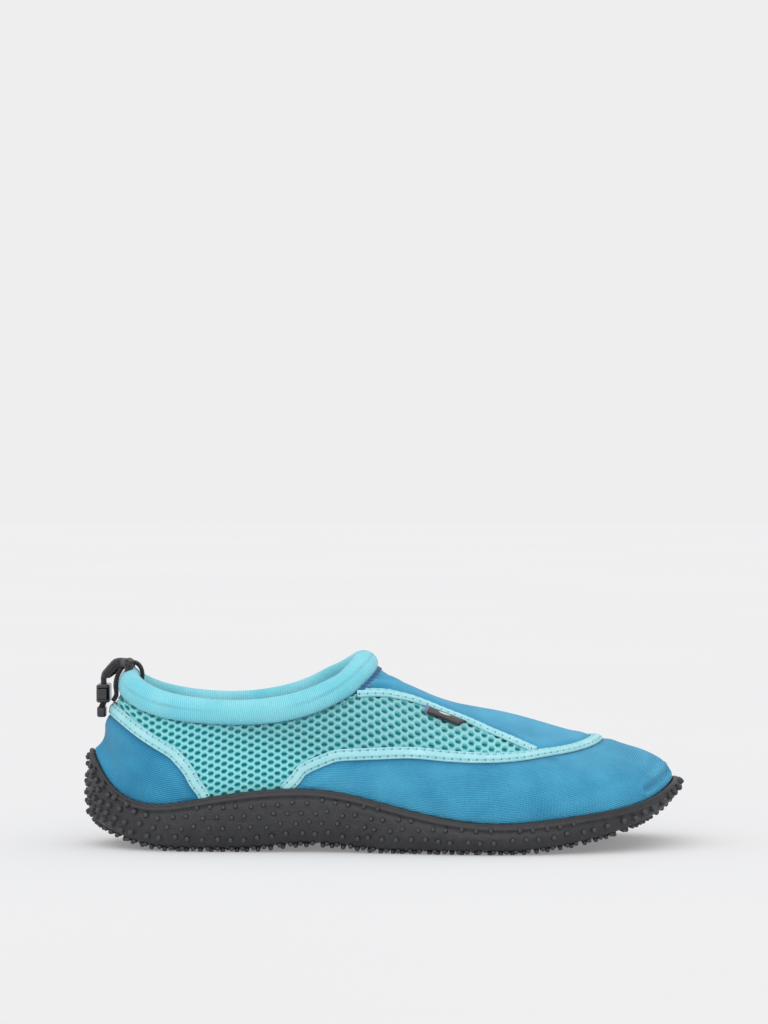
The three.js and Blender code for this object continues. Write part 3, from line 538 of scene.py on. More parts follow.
def sewn_tape(name, light, dark, hole, pitch, rows=(1.05,)):
    """Woven tape: lay is (along, distance from its edge, side)."""
    f = Finish(name, 0.7, Sheen_Weight=0.25, Sheen_Roughness=0.4, Specular_IOR_Level=0.35)
    along, edge, side = f.lay()
    weave = f.math("MULTIPLY", f.wave(along, 0.55), f.wave(edge, 0.5))
    grain = f.noise(2.2, 3)
    broad = f.noise(0.12, 2)
    tone = f.sum((weave, 0.1), (grain, 0.5), (broad, 0.45))
    colour = f.mix(f.step(tone, 0.25, 0.8), dark, light)
    # Needle holes along each stitch row are painted in the dark hole colour: painted shade in the holes.
    from_hole = f.math("PINGPONG", f.sum((along, 1.0), (side, pitch * 0.25)), pitch / 2)
    for row in rows:
        beside = f.math("SUBTRACT", edge, row)
        away = f.math("SQRT", f.sum((f.math("MULTIPLY", from_hole, from_hole), 1.0),
                                    (f.math("MULTIPLY", beside, beside), 1.0)))
        colour = f.mix(f.step(away, 0.3, 0.56), hole, colour)
    f.colour(colour)
    return f.relief((weave, 0.03), (grain, 0.08))


STITCH_PITCH = 3.5
BLUE = ribbed("blue neoprene", rgb(82, 177, 212), rgb(32, 119, 164), 0.8, 0.13)
HEEL_BLUE = ribbed("blue neoprene of the heel", rgb(66, 162, 200), rgb(23, 104, 148), 0.86, -0.24)
TONGUE_BLUE = ribbed("blue neoprene of the tongue", rgb(88, 180, 214), rgb(38, 126, 170), 0.8, 0.1, 0.04)
TAPE = sewn_tape("binding tape", rgb(190, 234, 240), rgb(146, 213, 222), rgb(20, 110, 122), STITCH_PITCH)
SEAM_STRIP, SEAM_STRIP_PITCH = 2.3, 2.4  # the strip where the tongue meets the collar
SEAM_TAPE = sewn_tape("dark seam tape", rgb(70, 138, 184), rgb(30, 86, 132), rgb(12, 40, 66), SEAM_STRIP_PITCH)


def thread(name, light, dark):
    f = Finish(name, 0.55, Sheen_Weight=0.3, Specular_IOR_Level=0.4)
    twist = f.wave(f.sum((f.lay()[0], 1.0), (f.lay()[1], 0.35)), 0.45)
    f.colour(f.mix(f.step(twist, -0.6, 0.6), dark, light))
    return f.bump(twist, 0.03)


PALE_THREAD = thread("pale thread", rgb(196, 242, 244), rgb(140, 216, 222))
TEAL_THREAD = thread("teal thread", rgb(60, 176, 186), rgb(14, 108, 120))
WHITE_THREAD = thread("white thread", rgb(214, 236, 242), rgb(150, 190, 206))


def collar_finish():
    f = Finish("turquoise ribbed jersey", 0.72, Sheen_Weight=0.3, Sheen_Roughness=0.4, Specular_IOR_Level=0.3)
    along, round_it, _ = f.lay()
    rib = f.wave(f.sum((along, 1.0), (f.noise(0.15), 0.8)), 0.85)
    loop = f.wave(round_it, 0.7)
    fuzz, soft = f.noise(2.4, 3), f.noise(0.06, 2)
    f.shade(0.25, 0.95, rgb(98, 199, 217), rgb(158, 226, 238),
            (rib, 0.16), (loop, 0.04), (fuzz, 0.5), (soft, 0.6))
    return f.relief((rib, 0.07), (loop, 0.02), (fuzz, 0.08), (soft, 0.25))


def mesh_finish():
    """Open mesh: lay's last number is 0 at a hole's edge and 1 where strands meet. The strands are painted lighter
    where they meet and darker at the holes' edges: a painted highlight and painted shade.
    """
    f = Finish("air mesh", 0.68, Sheen_Weight=0.3, Specular_IOR_Level=0.35)
    along, up, strand = f.lay()
    yarn = f.wave(f.sum((along, 1.0), (up, 0.6)), 0.55)
    cross = f.wave(f.sum((along, 1.0), (up, -0.6)), 0.55)
    fuzz = f.noise(2.8, 2)
    # Painted highlight along the raised strands and painted shade at the holes' edges, from lay's last number.
    f.shade(0.15, 1.05, rgb(66, 196, 204), rgb(158, 235, 238),
            (f.step(strand, 0.1, 1.0), 0.75), (yarn, 0.09), (cross, 0.09), (fuzz, 0.45))
    return f.relief((yarn, 0.05), (cross, 0.05), (fuzz, 0.08))


def lining_finish():
    f = Finish("teal lining", 0.85, Sheen_Weight=0.2)
    fuzz, patch = f.noise(1.6, 3), f.noise(0.11, 2)
    grid_wave = f.math("MULTIPLY", f.wave(f.lay()[0], 0.7), f.wave(f.lay()[1], 0.7))
    colour = f.mix(f.step(fuzz, 0.3, 0.75), rgb(10, 140, 154), rgb(30, 176, 188))
    f.colour(f.mix(f.step(patch, 0.6, 0.74), colour, rgb(96, 178, 188)))
    return f.relief((grid_wave, 0.05), (fuzz, 0.1))


def rubber_finish():
    """Moulded rubber: lay's last number is 1 on the tip of a nub, which is painted lighter: wear on the ground nubs and
    a painted highlight on the wall nubs.
    """
    f = Finish("sole rubber", 0.5, Specular_IOR_Level=0.5)
    grain, dents, broad = f.noise(3.0, 2), f.noise(0.33, 3), f.noise(0.04, 2)
    # Nub tips are painted lighter: wear on the ground nubs, a painted highlight on the wall nubs.
    tip = f.lay()[2]
    f.shade(0.3, 1.2, rgb(24, 24, 28), rgb(62, 63, 68),
            (grain, 0.35), (dents, 0.4), (broad, 0.4), (tip, 0.5))
    f.rough(f.sum((grain, 0.25), (dents, 0.3), (f.step(tip, 0, 1), 0.12), (broad, 0.3)))
    return f.relief((grain, 0.05), (dents, 0.5), (f.noise(0.9, 2), 0.12))


def webbing_finish():
    f = Finish("black webbing", 0.75, Sheen_Weight=0.3, Specular_IOR_Level=0.3)
    along, across, _ = f.lay()
    weft = f.wave(along, 0.62)
    chevron = f.wave(f.sum((along, 1.0), (f.math("PINGPONG", across, 1.6), 1.4)), 1.5)
    fuzz = f.noise(3, 2)
    f.shade(0, 0.9, rgb(16, 15, 17), rgb(58, 55, 60),
            (weft, 0.25), (chevron, 0.25), (fuzz, 0.6))
    return f.relief((weft, 0.06), (chevron, 0.08), (fuzz, 0.1))


def cord_finish():
    """Braided sheath: lay is (along, round)."""
    f = Finish("braided elastic", 0.7, Sheen_Weight=0.35, Specular_IOR_Level=0.3)
    along, round_it, _ = f.lay()
    one, other = (f.wave(f.sum((along, 1.0), (round_it, slant)), 1.25) for slant in (0.9, -0.9))
    braid = f.math("MAXIMUM", one, other)
    fuzz = f.noise(3, 2)
    f.colour(f.mix(f.step(f.sum((braid, 0.4), (fuzz, 0.6)), 0.0, 0.9), rgb(15, 14, 16), rgb(62, 58, 62)))
    return f.relief((braid, 0.14), (fuzz, 0.12))


def label_finish():
    """Folded woven label: lay is (along, distance from its upper edge, _); plain mark, and a painted bluish highlight
    on the folded end.
    """
    f = Finish("woven label", 0.7, Sheen_Weight=0.2)
    along, across, _ = f.lay()
    weave = f.math("MULTIPLY", f.wave(along, 0.42), f.wave(across, 0.42))
    x = f.math("MULTIPLY", f.math("SUBTRACT", along, 10.5), 1 / 3.4)
    y = f.math("MULTIPLY", f.math("SUBTRACT", across, 3.4), 1 / 1.7)
    away = f.math("SQRT", f.sum((f.math("MULTIPLY", x, x), 1.0), (f.math("MULTIPLY", y, y), 1.0)))
    body = f.mix(f.step(weave, -0.8, 0.8), rgb(30, 28, 31), rgb(52, 49, 54))
    body = f.mix(f.step(away, 0.82, 1.05), rgb(226, 226, 230), body)
    # The folded end is painted light bluish: a painted highlight where the fold catches the light.
    f.colour(f.mix(f.step(along, 1.3, 1.7), rgb(116, 124, 170), body))
    return f.relief((weave, 0.06), (f.noise(3), 0.05))


def moulded(name, light, dark, roughness, coat=0.0):
    f = Finish(name, roughness, Specular_IOR_Level=0.5, Coat_Weight=coat, Coat_Roughness=0.12)
    grain, scuff = f.noise(1.2, 3), f.noise(0.35, 4)
    f.colour(f.mix(f.step(scuff, 0.35, 0.75), dark, light))
    f.rough(f.sum((grain, 0.2), (scuff, 0.25), (1.0, roughness - 0.2)))
    return f.relief((grain, 0.03), (scuff, 0.06))


def foam_finish():
    f = Finish("footbed cloth", 0.9, Sheen_Weight=0.3)
    weave = f.math("MULTIPLY", f.wave(f.node("ShaderNodeSeparateXYZ", f.place).outputs[0], 1.1),
                   f.wave(f.node("ShaderNodeSeparateXYZ", f.place).outputs[1], 1.1))
    fuzz, broad = f.noise(1.5, 3), f.noise(0.03, 2)
    f.shade(0.2, 0.9, rgb(38, 110, 132), rgb(86, 168, 186),
            (weave, 0.12), (fuzz, 0.5), (broad, 0.5))
    return f.relief((weave, 0.08), (fuzz, 0.12))


COLLAR, MESH, LINING_CLOTH, RUBBER = collar_finish(), mesh_finish(), lining_finish(), rubber_finish()
WEBBING, CORD, LABEL, FOAM = webbing_finish(), cord_finish(), label_finish(), foam_finish()
PLASTIC = moulded("glossy black plastic", rgb(44, 41, 45), rgb(26, 24, 27), 0.3, 0.4)
FIBRE = moulded("insole board", rgb(222, 216, 200), rgb(196, 188, 170), 0.9)
STEEL = Finish("spring steel", 0.3, Metallic=1.0)
STEEL.colour(STEEL.mix(STEEL.noise(1.5, 3), rgb(150, 152, 156), rgb(206, 208, 212)))
STEEL.bump(STEEL.noise(4), 0.02)


# ---------------------------------------------------------------- cloth on the surface
def facing(tri, points, normal):
    n = np.cross(points[tri[:, 1]] - points[tri[:, 0]], points[tri[:, 2]] - points[tri[:, 0]])
    return tri if (n * normal[tri[:, 0]]).sum() > 0 else tri[:, ::-1]


def cloth(name, v, tri, front, back, finish, lay, **words):
    """A body between two lifts from the surface, over the (station, height) mesh v."""
    point, _, _, normal = frame_at(v[:, 0], v[:, 1])
    front, back = (point + normal * np.broadcast_to(lift, len(v))[:, None] for lift in (front, back))
    tri = facing(tri, front, normal)
    return piece(name, np.vstack([front, back]), thicken(tri, len(v)), finish.material, lay=np.vstack([lay, lay]),
                 **words)


ALL_SEAMS = [seam_points(s) for s in (toe_seam, heel_seam, tongue_seam, tongue_seam_inner)]


def seam_distance(points):
    return np.min([distance_to(points, s) for s in ALL_SEAMS], axis=0)


def creases(points, folds):
    """Soft folds: each is (k, t) from, (k, t) to, depth, width; a positive depth is a dent."""
    lift = np.zeros(len(points))
    for start, end, depth, width in folds:
        kt = np.linspace(start, end, 12)
        near = distance_to(points, surface(kt[:, 0], kt[:, 1]))
        lift -= depth * hill(near, width) - 0.55 * depth * hill(near - 1.9 * width, width)
    return lift


def panel(name, columns, rows, side, finish, folds=(), **words):
    v, tri = grid(columns, rows)
    for cut in side:
        v, tri = clip(v, tri, cut(v) - SEAM_GAP / 2)
    points = surface(v[:, 0], v[:, 1])
    near = seam_distance(points)
    beyond = np.maximum(near - BINDING_WIDTH / 2, 0)
    rise = np.where(v[:, 1] > 0, 1, 0) * smooth(v[:, 1] / 0.04)
    lift = rise * (0.45 * hill(beyond - 4.5, 3) - 0.4 * hill(beyond, 1.3)) - 0.05 + creases(points, folds) * rise
    along, up = measure(v[:, 0], v[:, 1])
    return cloth(name, v, tri, lift, -NEOPRENE, finish, np.stack([along, up, near], 1), replaces=name,
                 slot="blue_neoprene", **words)


TUCKED = [-1, -0.6, -0.25]
TOE_FOLDS = [
    ((0.25, 0.06), (1.45, 0.05), 1.4, 1.5), ((0.3, 0.15), (1.0, 0.13), 0.9, 1.9), ((-0.3, 0.1), (-1.6, 0.08), 0.5, 2.0),
    ((0.05, 0.05), (0.15, 0.22), 0.3, 1.8), ((1.7, 0.16), (2.9, 0.11), 0.3, 2.4),
]
TONGUE_FOLDS = [
    ((2.2, 0.955), (1.5, 0.88), 0.75, 1.5), ((1.2, 0.95), (0.7, 0.9), 0.6, 1.7), ((0.2, 0.95), (-0.6, 0.9), 0.5, 1.7),
    ((-1.4, 0.95), (-1.8, 0.89), 0.6, 1.6), ((1.25, 0.84), (0.3, 0.8), 0.3, 3),
]
panel("toe_panel", np.linspace(-6.42, 6.42, 258), np.r_[TUCKED, np.linspace(0, 0.56, 57)],
      [toe_side], BLUE, TOE_FOLDS)
panel("heel_panel", np.linspace(7.15, 12.85, 150), np.r_[TUCKED, np.linspace(0, 0.82, 60)],
      [heel_side], HEEL_BLUE, [((9.2, 0.16), (9.85, 0.3), 0.3, 2), ((10.3, 0.25), (10.9, 0.14), 0.3, 2)])
panel("tongue_panel", np.linspace(-3.3, 3.3, 150), np.linspace(0.3, 1.0, 90),
      [lambda v: -toe_side(v), tongue_side], TONGUE_BLUE, TONGUE_FOLDS)


def back_side(kt):
    """Distance from the seam down the middle of the heel."""
    points = surface(kt[:, 0], kt[:, 1])
    t = np.linspace(0.6, 1.05, 30)
    near = distance_to(points, surface(np.full(30, float(LAST)), t))
    return np.where((kt[:, 0] < LAST) & (kt[:, 0] > -LAST), near, -near)


def side_region(v, tri):
    for cut in (toe_side, heel_side, tongue_side):
        v, tri = clip(v, tri, -cut(v) - SEAM_GAP / 2)
    return clip(v, tri, back_side(v) - SEAM_GAP / 2)


# Open mesh: oval holes in staggered rows. A row keeps its rise above the rim and a column its place along the shoe.
ROWS = 30
ROW_PITCH_BACK, ROW_PITCH_FRONT = 1.66, 2.0
HOLE_PITCH = 5.8
TILT = 0.087  # rows are level for a viewer who looks down a little


def place_at(k, t):
    p = surface(k, t)
    return p[..., 0], p[..., 2] + TILT * p[..., 1]


RIM_LINE = place_at(np.linspace(0, LAST, 400)[::-1], np.zeros(400))
GRID_K, GRID_T = (g.ravel() for g in np.meshgrid(np.linspace(0, LAST, 91), np.linspace(0, 1.06, 41), indexing="ij"))
GRID_X, GRID_Z = place_at(GRID_K, GRID_T)


def station_and_height(x, rise):
    """Where the outer side is at x along the shoe and `rise` millimetres above the rim, and how far off that is."""
    z = rise + np.interp(x, *RIM_LINE)
    near = np.concatenate([((GRID_X - a[:, None]) ** 2 + (GRID_Z - b[:, None]) ** 2).argmin(1)
                           for a, b in zip(np.array_split(x, 40), np.array_split(z, 40))])
    k, t = GRID_K[near], GRID_T[near]
    for _ in range(6):
        here_x, here_z = place_at(k, t)
        right_x, right_z = place_at(k + 0.01, t)
        above_x, above_z = place_at(k, t + 0.004)
        a, b = (right_x - here_x) / 0.01, (above_x - here_x) / 0.004
        c, d = (right_z - here_z) / 0.01, (above_z - here_z) / 0.004
        p, q = x - here_x, z - here_z
        det = a * d - b * c
        det = np.where(np.abs(det) < 20, np.where(det < 0, -20, 20), det)
        k = np.clip(k + np.clip((p * d - q * b) / det, -0.1, 0.1), 0, LAST)
        t = np.clip(t + np.clip((a * q - c * p) / det, -0.04, 0.04), 0, 1.06)
    here_x, here_z = place_at(k, t)
    off = np.hypot(x - here_x, z - here_z)
    return k, np.where(rise < 0, rise / 33, t), np.where(rise < 0, 0, off)


def open_mesh():
    """Cells of a honeycomb, each with an oval hole: (station, height, lift, strand) and faces."""
    corners = np.array([[1.92, 0], [0.98, 1], [-0.98, 1], [-1.92, 0], [-0.98, -1], [0.98, -1]]) / [HOLE_PITCH, 1]
    per_edge = 3
    outline = np.vstack([np.linspace(a, b, per_edge, endpoint=False)
                         for a, b in zip(corners, np.roll(corners, -1, 0))])
    angle = np.arctan2(outline[:, 1] * 1.65, outline[:, 0] * HOLE_PITCH)
    n = len(outline)
    hole = np.stack([1.16 / HOLE_PITCH * np.cos(angle), 0.41 * np.sin(angle)], 1)
    rings = [(hole, -0.34, 0.0), (mix(hole, outline, 0.3), -0.04, 0.35), (mix(hole, outline, 0.68), 0.06, 0.8),
             (outline, 0.03, 1.0)]
    unit_cell = np.vstack([np.column_stack([p, np.full(n, lift), np.full(n, strand)]) for p, lift, strand in rings])
    faces = []
    for ring in range(len(rings) - 1):
        i = np.arange(n)
        p, q = ring * n + i, ring * n + (i + 1) % n
        faces += [np.stack([p, q, q + n], 1), np.stack([p, q + n, p + n], 1)]
    faces = np.vstack(faces)
    cells, tris = [], []
    for j in range(-2, ROWS):
        for i in range(-24, 14):
            cell = unit_cell.copy()
            cell[:, 0] += i + 0.5 * (j % 2)
            cell[:, 1] += j
            tris.append(faces + len(cells) * len(unit_cell))
            cells.append(cell)
    v, tri = np.vstack(cells), np.vstack(tris)
    _, first, same = np.unique(np.round(v[:, :2], 4), axis=0, return_index=True, return_inverse=True)
    v, tri = v[first], same.reshape(-1)[tri]
    x = v[:, 0] * HOLE_PITCH
    k, t, off = station_and_height(x, v[:, 1] * mix(ROW_PITCH_BACK, ROW_PITCH_FRONT, smooth((x + 45) / 45)))
    keep = (t > -0.1) & (t < 1.03) & (off < 0.4)
    tri = tri[keep[tri].all(1)]
    v = np.column_stack([k, t, v[:, 2:]])
    v, tri = compact(v, tri)
    inner = (v[:, 0] > 0.6) & (v[:, 0] < LAST - 0.002)
    return compact(v, tri[inner[tri].all(1)])


def sag(v):
    near = seam_distance(surface(v[:, 0], v[:, 1]))
    return -0.3 * hill(np.maximum(near - 2.6, 0), 1.2)


mesh_v, mesh_tri = side_region(*open_mesh())
lining_v, lining_tri = side_region(*grid(np.linspace(1.2, 9.999, 190), np.r_[-1, -0.5, np.linspace(0, 1, 40)]))
for name, sign in (("outer", 1), ("inner", -1)):
    for kind, v, tri in (("mesh", mesh_v, mesh_tri), ("lining", lining_v, lining_tri)):
        v = v * np.r_[sign, np.ones(v.shape[1] - 1)]
        along, up = measure(v[:, 0], v[:, 1])
        if kind == "mesh":
            cloth("mesh_" + name, v, tri, v[:, 2] + sag(v), -MESH_CLOTH, MESH, np.stack([along, up, v[:, 3]], 1),
                  replaces="mesh_" + name, slot="air_mesh", angle=50)
        else:
            depth = -MESH_CLOTH - CLEARANCE
            cloth("lining_" + name, v, tri, depth, depth - LINING, LINING_CLOTH, np.stack([along, up, up], 1),
                  replaces="lining_" + name, slot="lining_cloth")


# ---------------------------------------------------------------- tapes and their stitches
def along_line(line, step):
    """Places at equal steps along a seam, with their distance along it."""
    points = seam_points(line)
    run = run_along(points)
    s = np.linspace(0, run[-1], max(2, int(run[-1] / step)))
    return np.stack([np.interp(s, run, line[:, 0]), np.interp(s, run, line[:, 1])], 1), s


def tape(line, width, across, step=0.5, shift=0.0):
    """[station, height, along, distance from the middle] over a tape, and its faces."""
    line, s = along_line(line, step)
    point, _, _, normal = frame_at(line[:, 0], line[:, 1])
    side = unit(np.cross(normal, unit(np.gradient(point, axis=0))))
    places = np.linspace(-width / 2, width / 2, across)
    target = point[:, None] + side[:, None] * (places + shift)[None, :, None]
    k, t = nearest(target, *(np.repeat(line[:, i, None], across, 1) for i in (0, 1)))
    v = np.stack([k, t, np.repeat(s[:, None], across, 1), np.tile(places, (len(s), 1))], -1).reshape(-1, 4)
    return v, grid_faces(len(s), across)


STITCH_ROW = 1.05  # from the tape's edge
TAPE_FLANGE = 0.5
TAPE_BOTTOM = 0.02  # its underside, above the panels
THREAD_RADIUS, THREAD_SINK = 0.2, 0.08


def tape_lift(v, width):
    edge = width / 2 - np.abs(v[:, 3])
    rounded = np.sqrt(np.clip(1 - (1 - np.clip(edge / 0.4, 0, 1)) ** 2, 0, 1))
    pucker = 0.05 * np.sin(2 * np.pi * v[:, 2] / STITCH_PITCH)
    crown = 0.45 * smooth((edge - STITCH_ROW - 0.1) / 0.6)
    return CLEARANCE + TAPE_FLANGE * rounded - 0.2 * hill(edge - STITCH_ROW, 0.3) + crown + pucker


def rods(paths, radius, sides=6):
    """Short round threads along [path, point] lines of points: points, faces and lay."""
    count, steps = paths.shape[:2]
    along = unit(np.gradient(paths, axis=1))
    across = unit(np.cross(along, np.array([0.31, 0.2, 0.93])))
    other = np.cross(along, across)
    ends = np.sqrt(np.clip(1 - (2 * np.linspace(0, 1, steps) - 1) ** 6, 0.05, 1))
    a = np.arange(sides) * 2 * np.pi / sides
    ring = across[:, :, None] * np.cos(a)[:, None] + other[:, :, None] * np.sin(a)[:, None]
    points = paths[:, :, None] + ring * (radius * ends)[None, :, None, None]
    faces = []
    for i in range(steps - 1):
        for j in range(sides):
            n = (j + 1) % sides
            p, q, r, s = i * sides + j, i * sides + n, (i + 1) * sides + n, (i + 1) * sides + j
            faces += [(p, q, r), (p, r, s)]
    last = (steps - 1) * sides
    for j in range(1, sides - 1):
        faces += [(0, j + 1, j), (last, last + j, last + j + 1)]
    run = run_along(paths[0])
    lay = np.stack(np.broadcast_arrays(run[None, :, None], a[None, None], 0.0), -1)
    lay = np.broadcast_to(lay, (count, steps, sides, 3)).reshape(-1, 3)
    tri = (np.arange(count)[:, None, None] * steps * sides + np.array(faces)).reshape(-1, 3)
    return points.reshape(-1, 3), tri, lay


def stitches(v, rows, pitch, lift, radius, thread_length=0.72):
    """Threads along lines of a tape at the given distances from its middle."""
    paths = []
    length = v[:, 2].max()
    for row, start in rows:
        on_row = v[np.abs(v[:, 3] - row) < 1e-6]
        middle = np.arange(start + pitch * 0.5, length - pitch * 0.5, pitch)
        s = middle[:, None] + np.linspace(-0.5, 0.5, 5) * pitch * thread_length
        k, t = (np.interp(s, on_row[:, 2], on_row[:, i]) for i in (0, 1))
        arch = np.broadcast_to(np.array([-0.12, 0.05, 0.1, 0.05, -0.12]), k.shape)
        paths.append(offset(k, t, lift + arch))
    return rods(np.vstack(paths), radius)


def sewn(name, line, width, cut=()):
    """A binding tape along a seam, with a row of stitches near either edge."""
    line = line[line[:, 1] > -0.02]
    across = 2 * int(round(width / 0.4)) + 1
    v, tri = tape(line, width, across)
    row = width / 2 - STITCH_ROW
    rows = v[:across, 3]
    nearest_row = rows[np.abs(rows - row).argmin()]
    lines = [(nearest_row, 0.0), (-nearest_row, STITCH_PITCH / 2)]
    points, faces, lay = stitches(v, lines, STITCH_PITCH, CLEARANCE + TAPE_FLANGE - THREAD_SINK, THREAD_RADIUS)
    v, tri = clip(v, tri, v[:, 1] - 0.004)
    for f in cut:
        v, tri = clip(v, tri, f(v))
    edge = width / 2 - np.abs(v[:, 3])
    lay_tape = np.stack([v[:, 2], edge, np.sign(v[:, 3])], 1)
    cloth(name, v, tri, tape_lift(v, width), TAPE_BOTTOM, TAPE, lay_tape, replaces=name, slot="binding_tape")
    piece(name + "_stitches", points, faces, PALE_THREAD.material, slot="binding_tape", lay=lay, angle=0)


sewn("heel_binding", heel_seam, BINDING_WIDTH)
sewn("toe_binding", toe_seam, BINDING_WIDTH)
under_toe_tape = lambda v: -toe_side(v[:, :2]) - BINDING_WIDTH / 2 - 0.1
below_collar = tongue_seam[tongue_seam[:, 1] < 0.985]
clear_of_toe = below_collar[-toe_side(below_collar) > BINDING_WIDTH / 2 - 1.5]
for name, sign in (("outer", 1), ("inner", -1)):
    sewn("tongue_binding_" + name, clear_of_toe * [sign, 1], TONGUE_BINDING_WIDTH, [under_toe_tape])


# ---------------------------------------------------------------- rubber cup, footbed and nubs
AROUND = 480
loop_k = np.arange(AROUND) * LOOP / AROUND


def beside_rim(k, out, z):
    p = rim_point(k) + plan_normal(k) * np.asarray(out, float)[..., None]
    p[..., 2] = z(p[..., 0]) if callable(z) else z
    return p


def dish(rows, low, high, across=24):
    """A closed body of closed rows of points, filled in level at the first row and the last."""
    count = len(rows[0])
    half = count // 2
    points = [np.stack(rows).reshape(-1, 3)]
    i, j = np.meshgrid(np.arange(count), np.arange(len(rows) - 1), indexing="ij")
    p, q = j * count + i, j * count + (i + 1) % count
    tri = [np.stack([p, q, q + count], -1).reshape(-1, 3), np.stack([p, q + count, p + count], -1).reshape(-1, 3)]
    start = len(rows) * count
    for row, height, flip in ((rows[0], low, False), (rows[-1], high, True)):
        pairs = np.arange(half + 1)
        a, b = row[pairs], row[(-pairs) % count]
        share = smooth(np.linspace(0, 1, across + 1)) * 0.35 + np.linspace(0, 1, across + 1) * 0.65
        cap = mix(a[:, None], b[:, None], share[None, :, None])
        cap[:, 1:-1, 2] = height(cap[:, 1:-1, 0], cap[:, 1:-1, 1])
        faces = grid_faces(half + 1, across + 1) + start
        points.append(cap.reshape(-1, 3))
        tri.append(faces[:, ::-1] if flip else faces)
        start += cap.shape[0] * cap.shape[1]
    points, tri = np.vstack(points), np.vstack(tri)
    _, first, same = np.unique(np.round(points, 3), axis=0, return_index=True, return_inverse=True)
    points, tri = points[first], same.reshape(-1)[tri]
    tri = tri[(tri[:, 0] != tri[:, 1]) & (tri[:, 1] != tri[:, 2]) & (tri[:, 2] != tri[:, 0])]
    return points, outward(points, tri)


CUP_FOOT = CUP_BULGE - 5.2  # how far the cup's bottom edge stands out from the rim line
WALL_OUT = spline([CUP_FOOT, CUP_BULGE - 2.2, CUP_BULGE - 0.6, CUP_BULGE, mix(CUP_BULGE, RIM_WALL, 0.4),
                   CLEARANCE + RIM_WALL])
WALL_UP = spline([0, 0.04, 0.18, 0.42, 0.75, 1])


def wall(k, u):
    """The cup's outer wall, from its bottom edge (u = 0) to its rim (u = 1)."""
    bottom, top = sole_at(rim_x(k)), rim_z(k)
    z = mix(bottom, top, np.clip(WALL_UP(u * 5), 0, 1))
    below = top - z
    out = WALL_OUT(u * 5) + 0.4 * hill(below - 2.7, 0.7) - 0.35 * hill(below - 4.4, 1.1)
    return beside_rim(k, out, z)


wall_u = np.r_[np.linspace(0, 0.75, 26)[:-1], np.linspace(0.75, 0.97, 24)]
rim_rows = [(CLEARANCE + RIM_WALL - 0.05, -0.45), (CLEARANCE + RIM_WALL - 0.45, -0.08), (CLEARANCE + RIM_WALL - 1, 0.0),
            (CUP_CLEARANCE + 0.5, -0.02), (CUP_CLEARANCE + 0.12, -0.25), (CUP_CLEARANCE, -0.7)]
cup_rows = [wall(loop_k, np.full(AROUND, u)) for u in wall_u]
cup_rows += [beside_rim(loop_k, np.full(AROUND, out), rim_z(loop_k) + z) for out, z in rim_rows]
inner_foot = beside_rim(loop_k, np.full(AROUND, CUP_CLEARANCE - TUCK), floor_at)
cup_rows += [mix(cup_rows[-1], inner_foot, share) for share in (0.35, 0.7)] + [inner_foot]
cup_points, cup_tri = dish(cup_rows, lambda x, y: sole_at(x), lambda x, y: floor_at(x))


def dome(radius, tip_radius, height, sides=9):
    """A nub standing on the origin along +Z: points, faces, and 1 on its tip."""
    rings = [(radius * 1.25, -0.35), (radius * 1.06, 0.08), (radius * 0.96, 0.3 * height), (tip_radius, 0.82 * height),
             (tip_radius * 0.55, 0.98 * height)]
    a = np.arange(sides) * 2 * np.pi / sides
    points = [[r * np.cos(x), r * np.sin(x), z] for r, z in rings for x in a] + [[0, 0, height], [0, 0, -0.35]]
    faces = []
    for ring in range(len(rings) - 1):
        for i in range(sides):
            p, q = ring * sides + i, ring * sides + (i + 1) % sides
            faces += [(p, q, q + sides), (p, q + sides, p + sides)]
    top, top_ring, bottom = len(points) - 2, (len(rings) - 1) * sides, len(points) - 1
    for i in range(sides):
        faces += [(top, top_ring + i, top_ring + (i + 1) % sides), (bottom, (i + 1) % sides, i)]
    # 1 on the tip, which the rubber paints lighter: wear on the ground nubs, a painted highlight on the wall nubs.
    tip_wear_and_highlight = np.r_[np.repeat([0, 0, 0.1, 0.8, 1.0], sides), 1, 0]
    return np.array(points), np.array(faces), tip_wear_and_highlight


NUB_SEED = 11
TREAD_STEP, TREAD_INSET = 5.9, 2.2
WALL_STEP, WALL_ROW = 6.1, 4.5
EDGE_STEP = 5.3
RIM_K = np.linspace(0, LOOP, 2001)
WALL_SHARE = np.clip(WALL_UP(np.linspace(0, 5, 60)), 0, 1)
rng = np.random.default_rng(NUB_SEED)
outline = beside_rim(loop_k, np.full(AROUND, CUP_FOOT), 0 * loop_k)[:, :2]
rim_run = run_along(rim_point(RIM_K))
nub_places = []  # foot, direction, radius, height


def station_along_rim(s):
    return float(np.interp(s, rim_run, RIM_K)) % LOOP


def wall_point(k, u):
    return wall(np.array([k]), np.array([u]))[0]


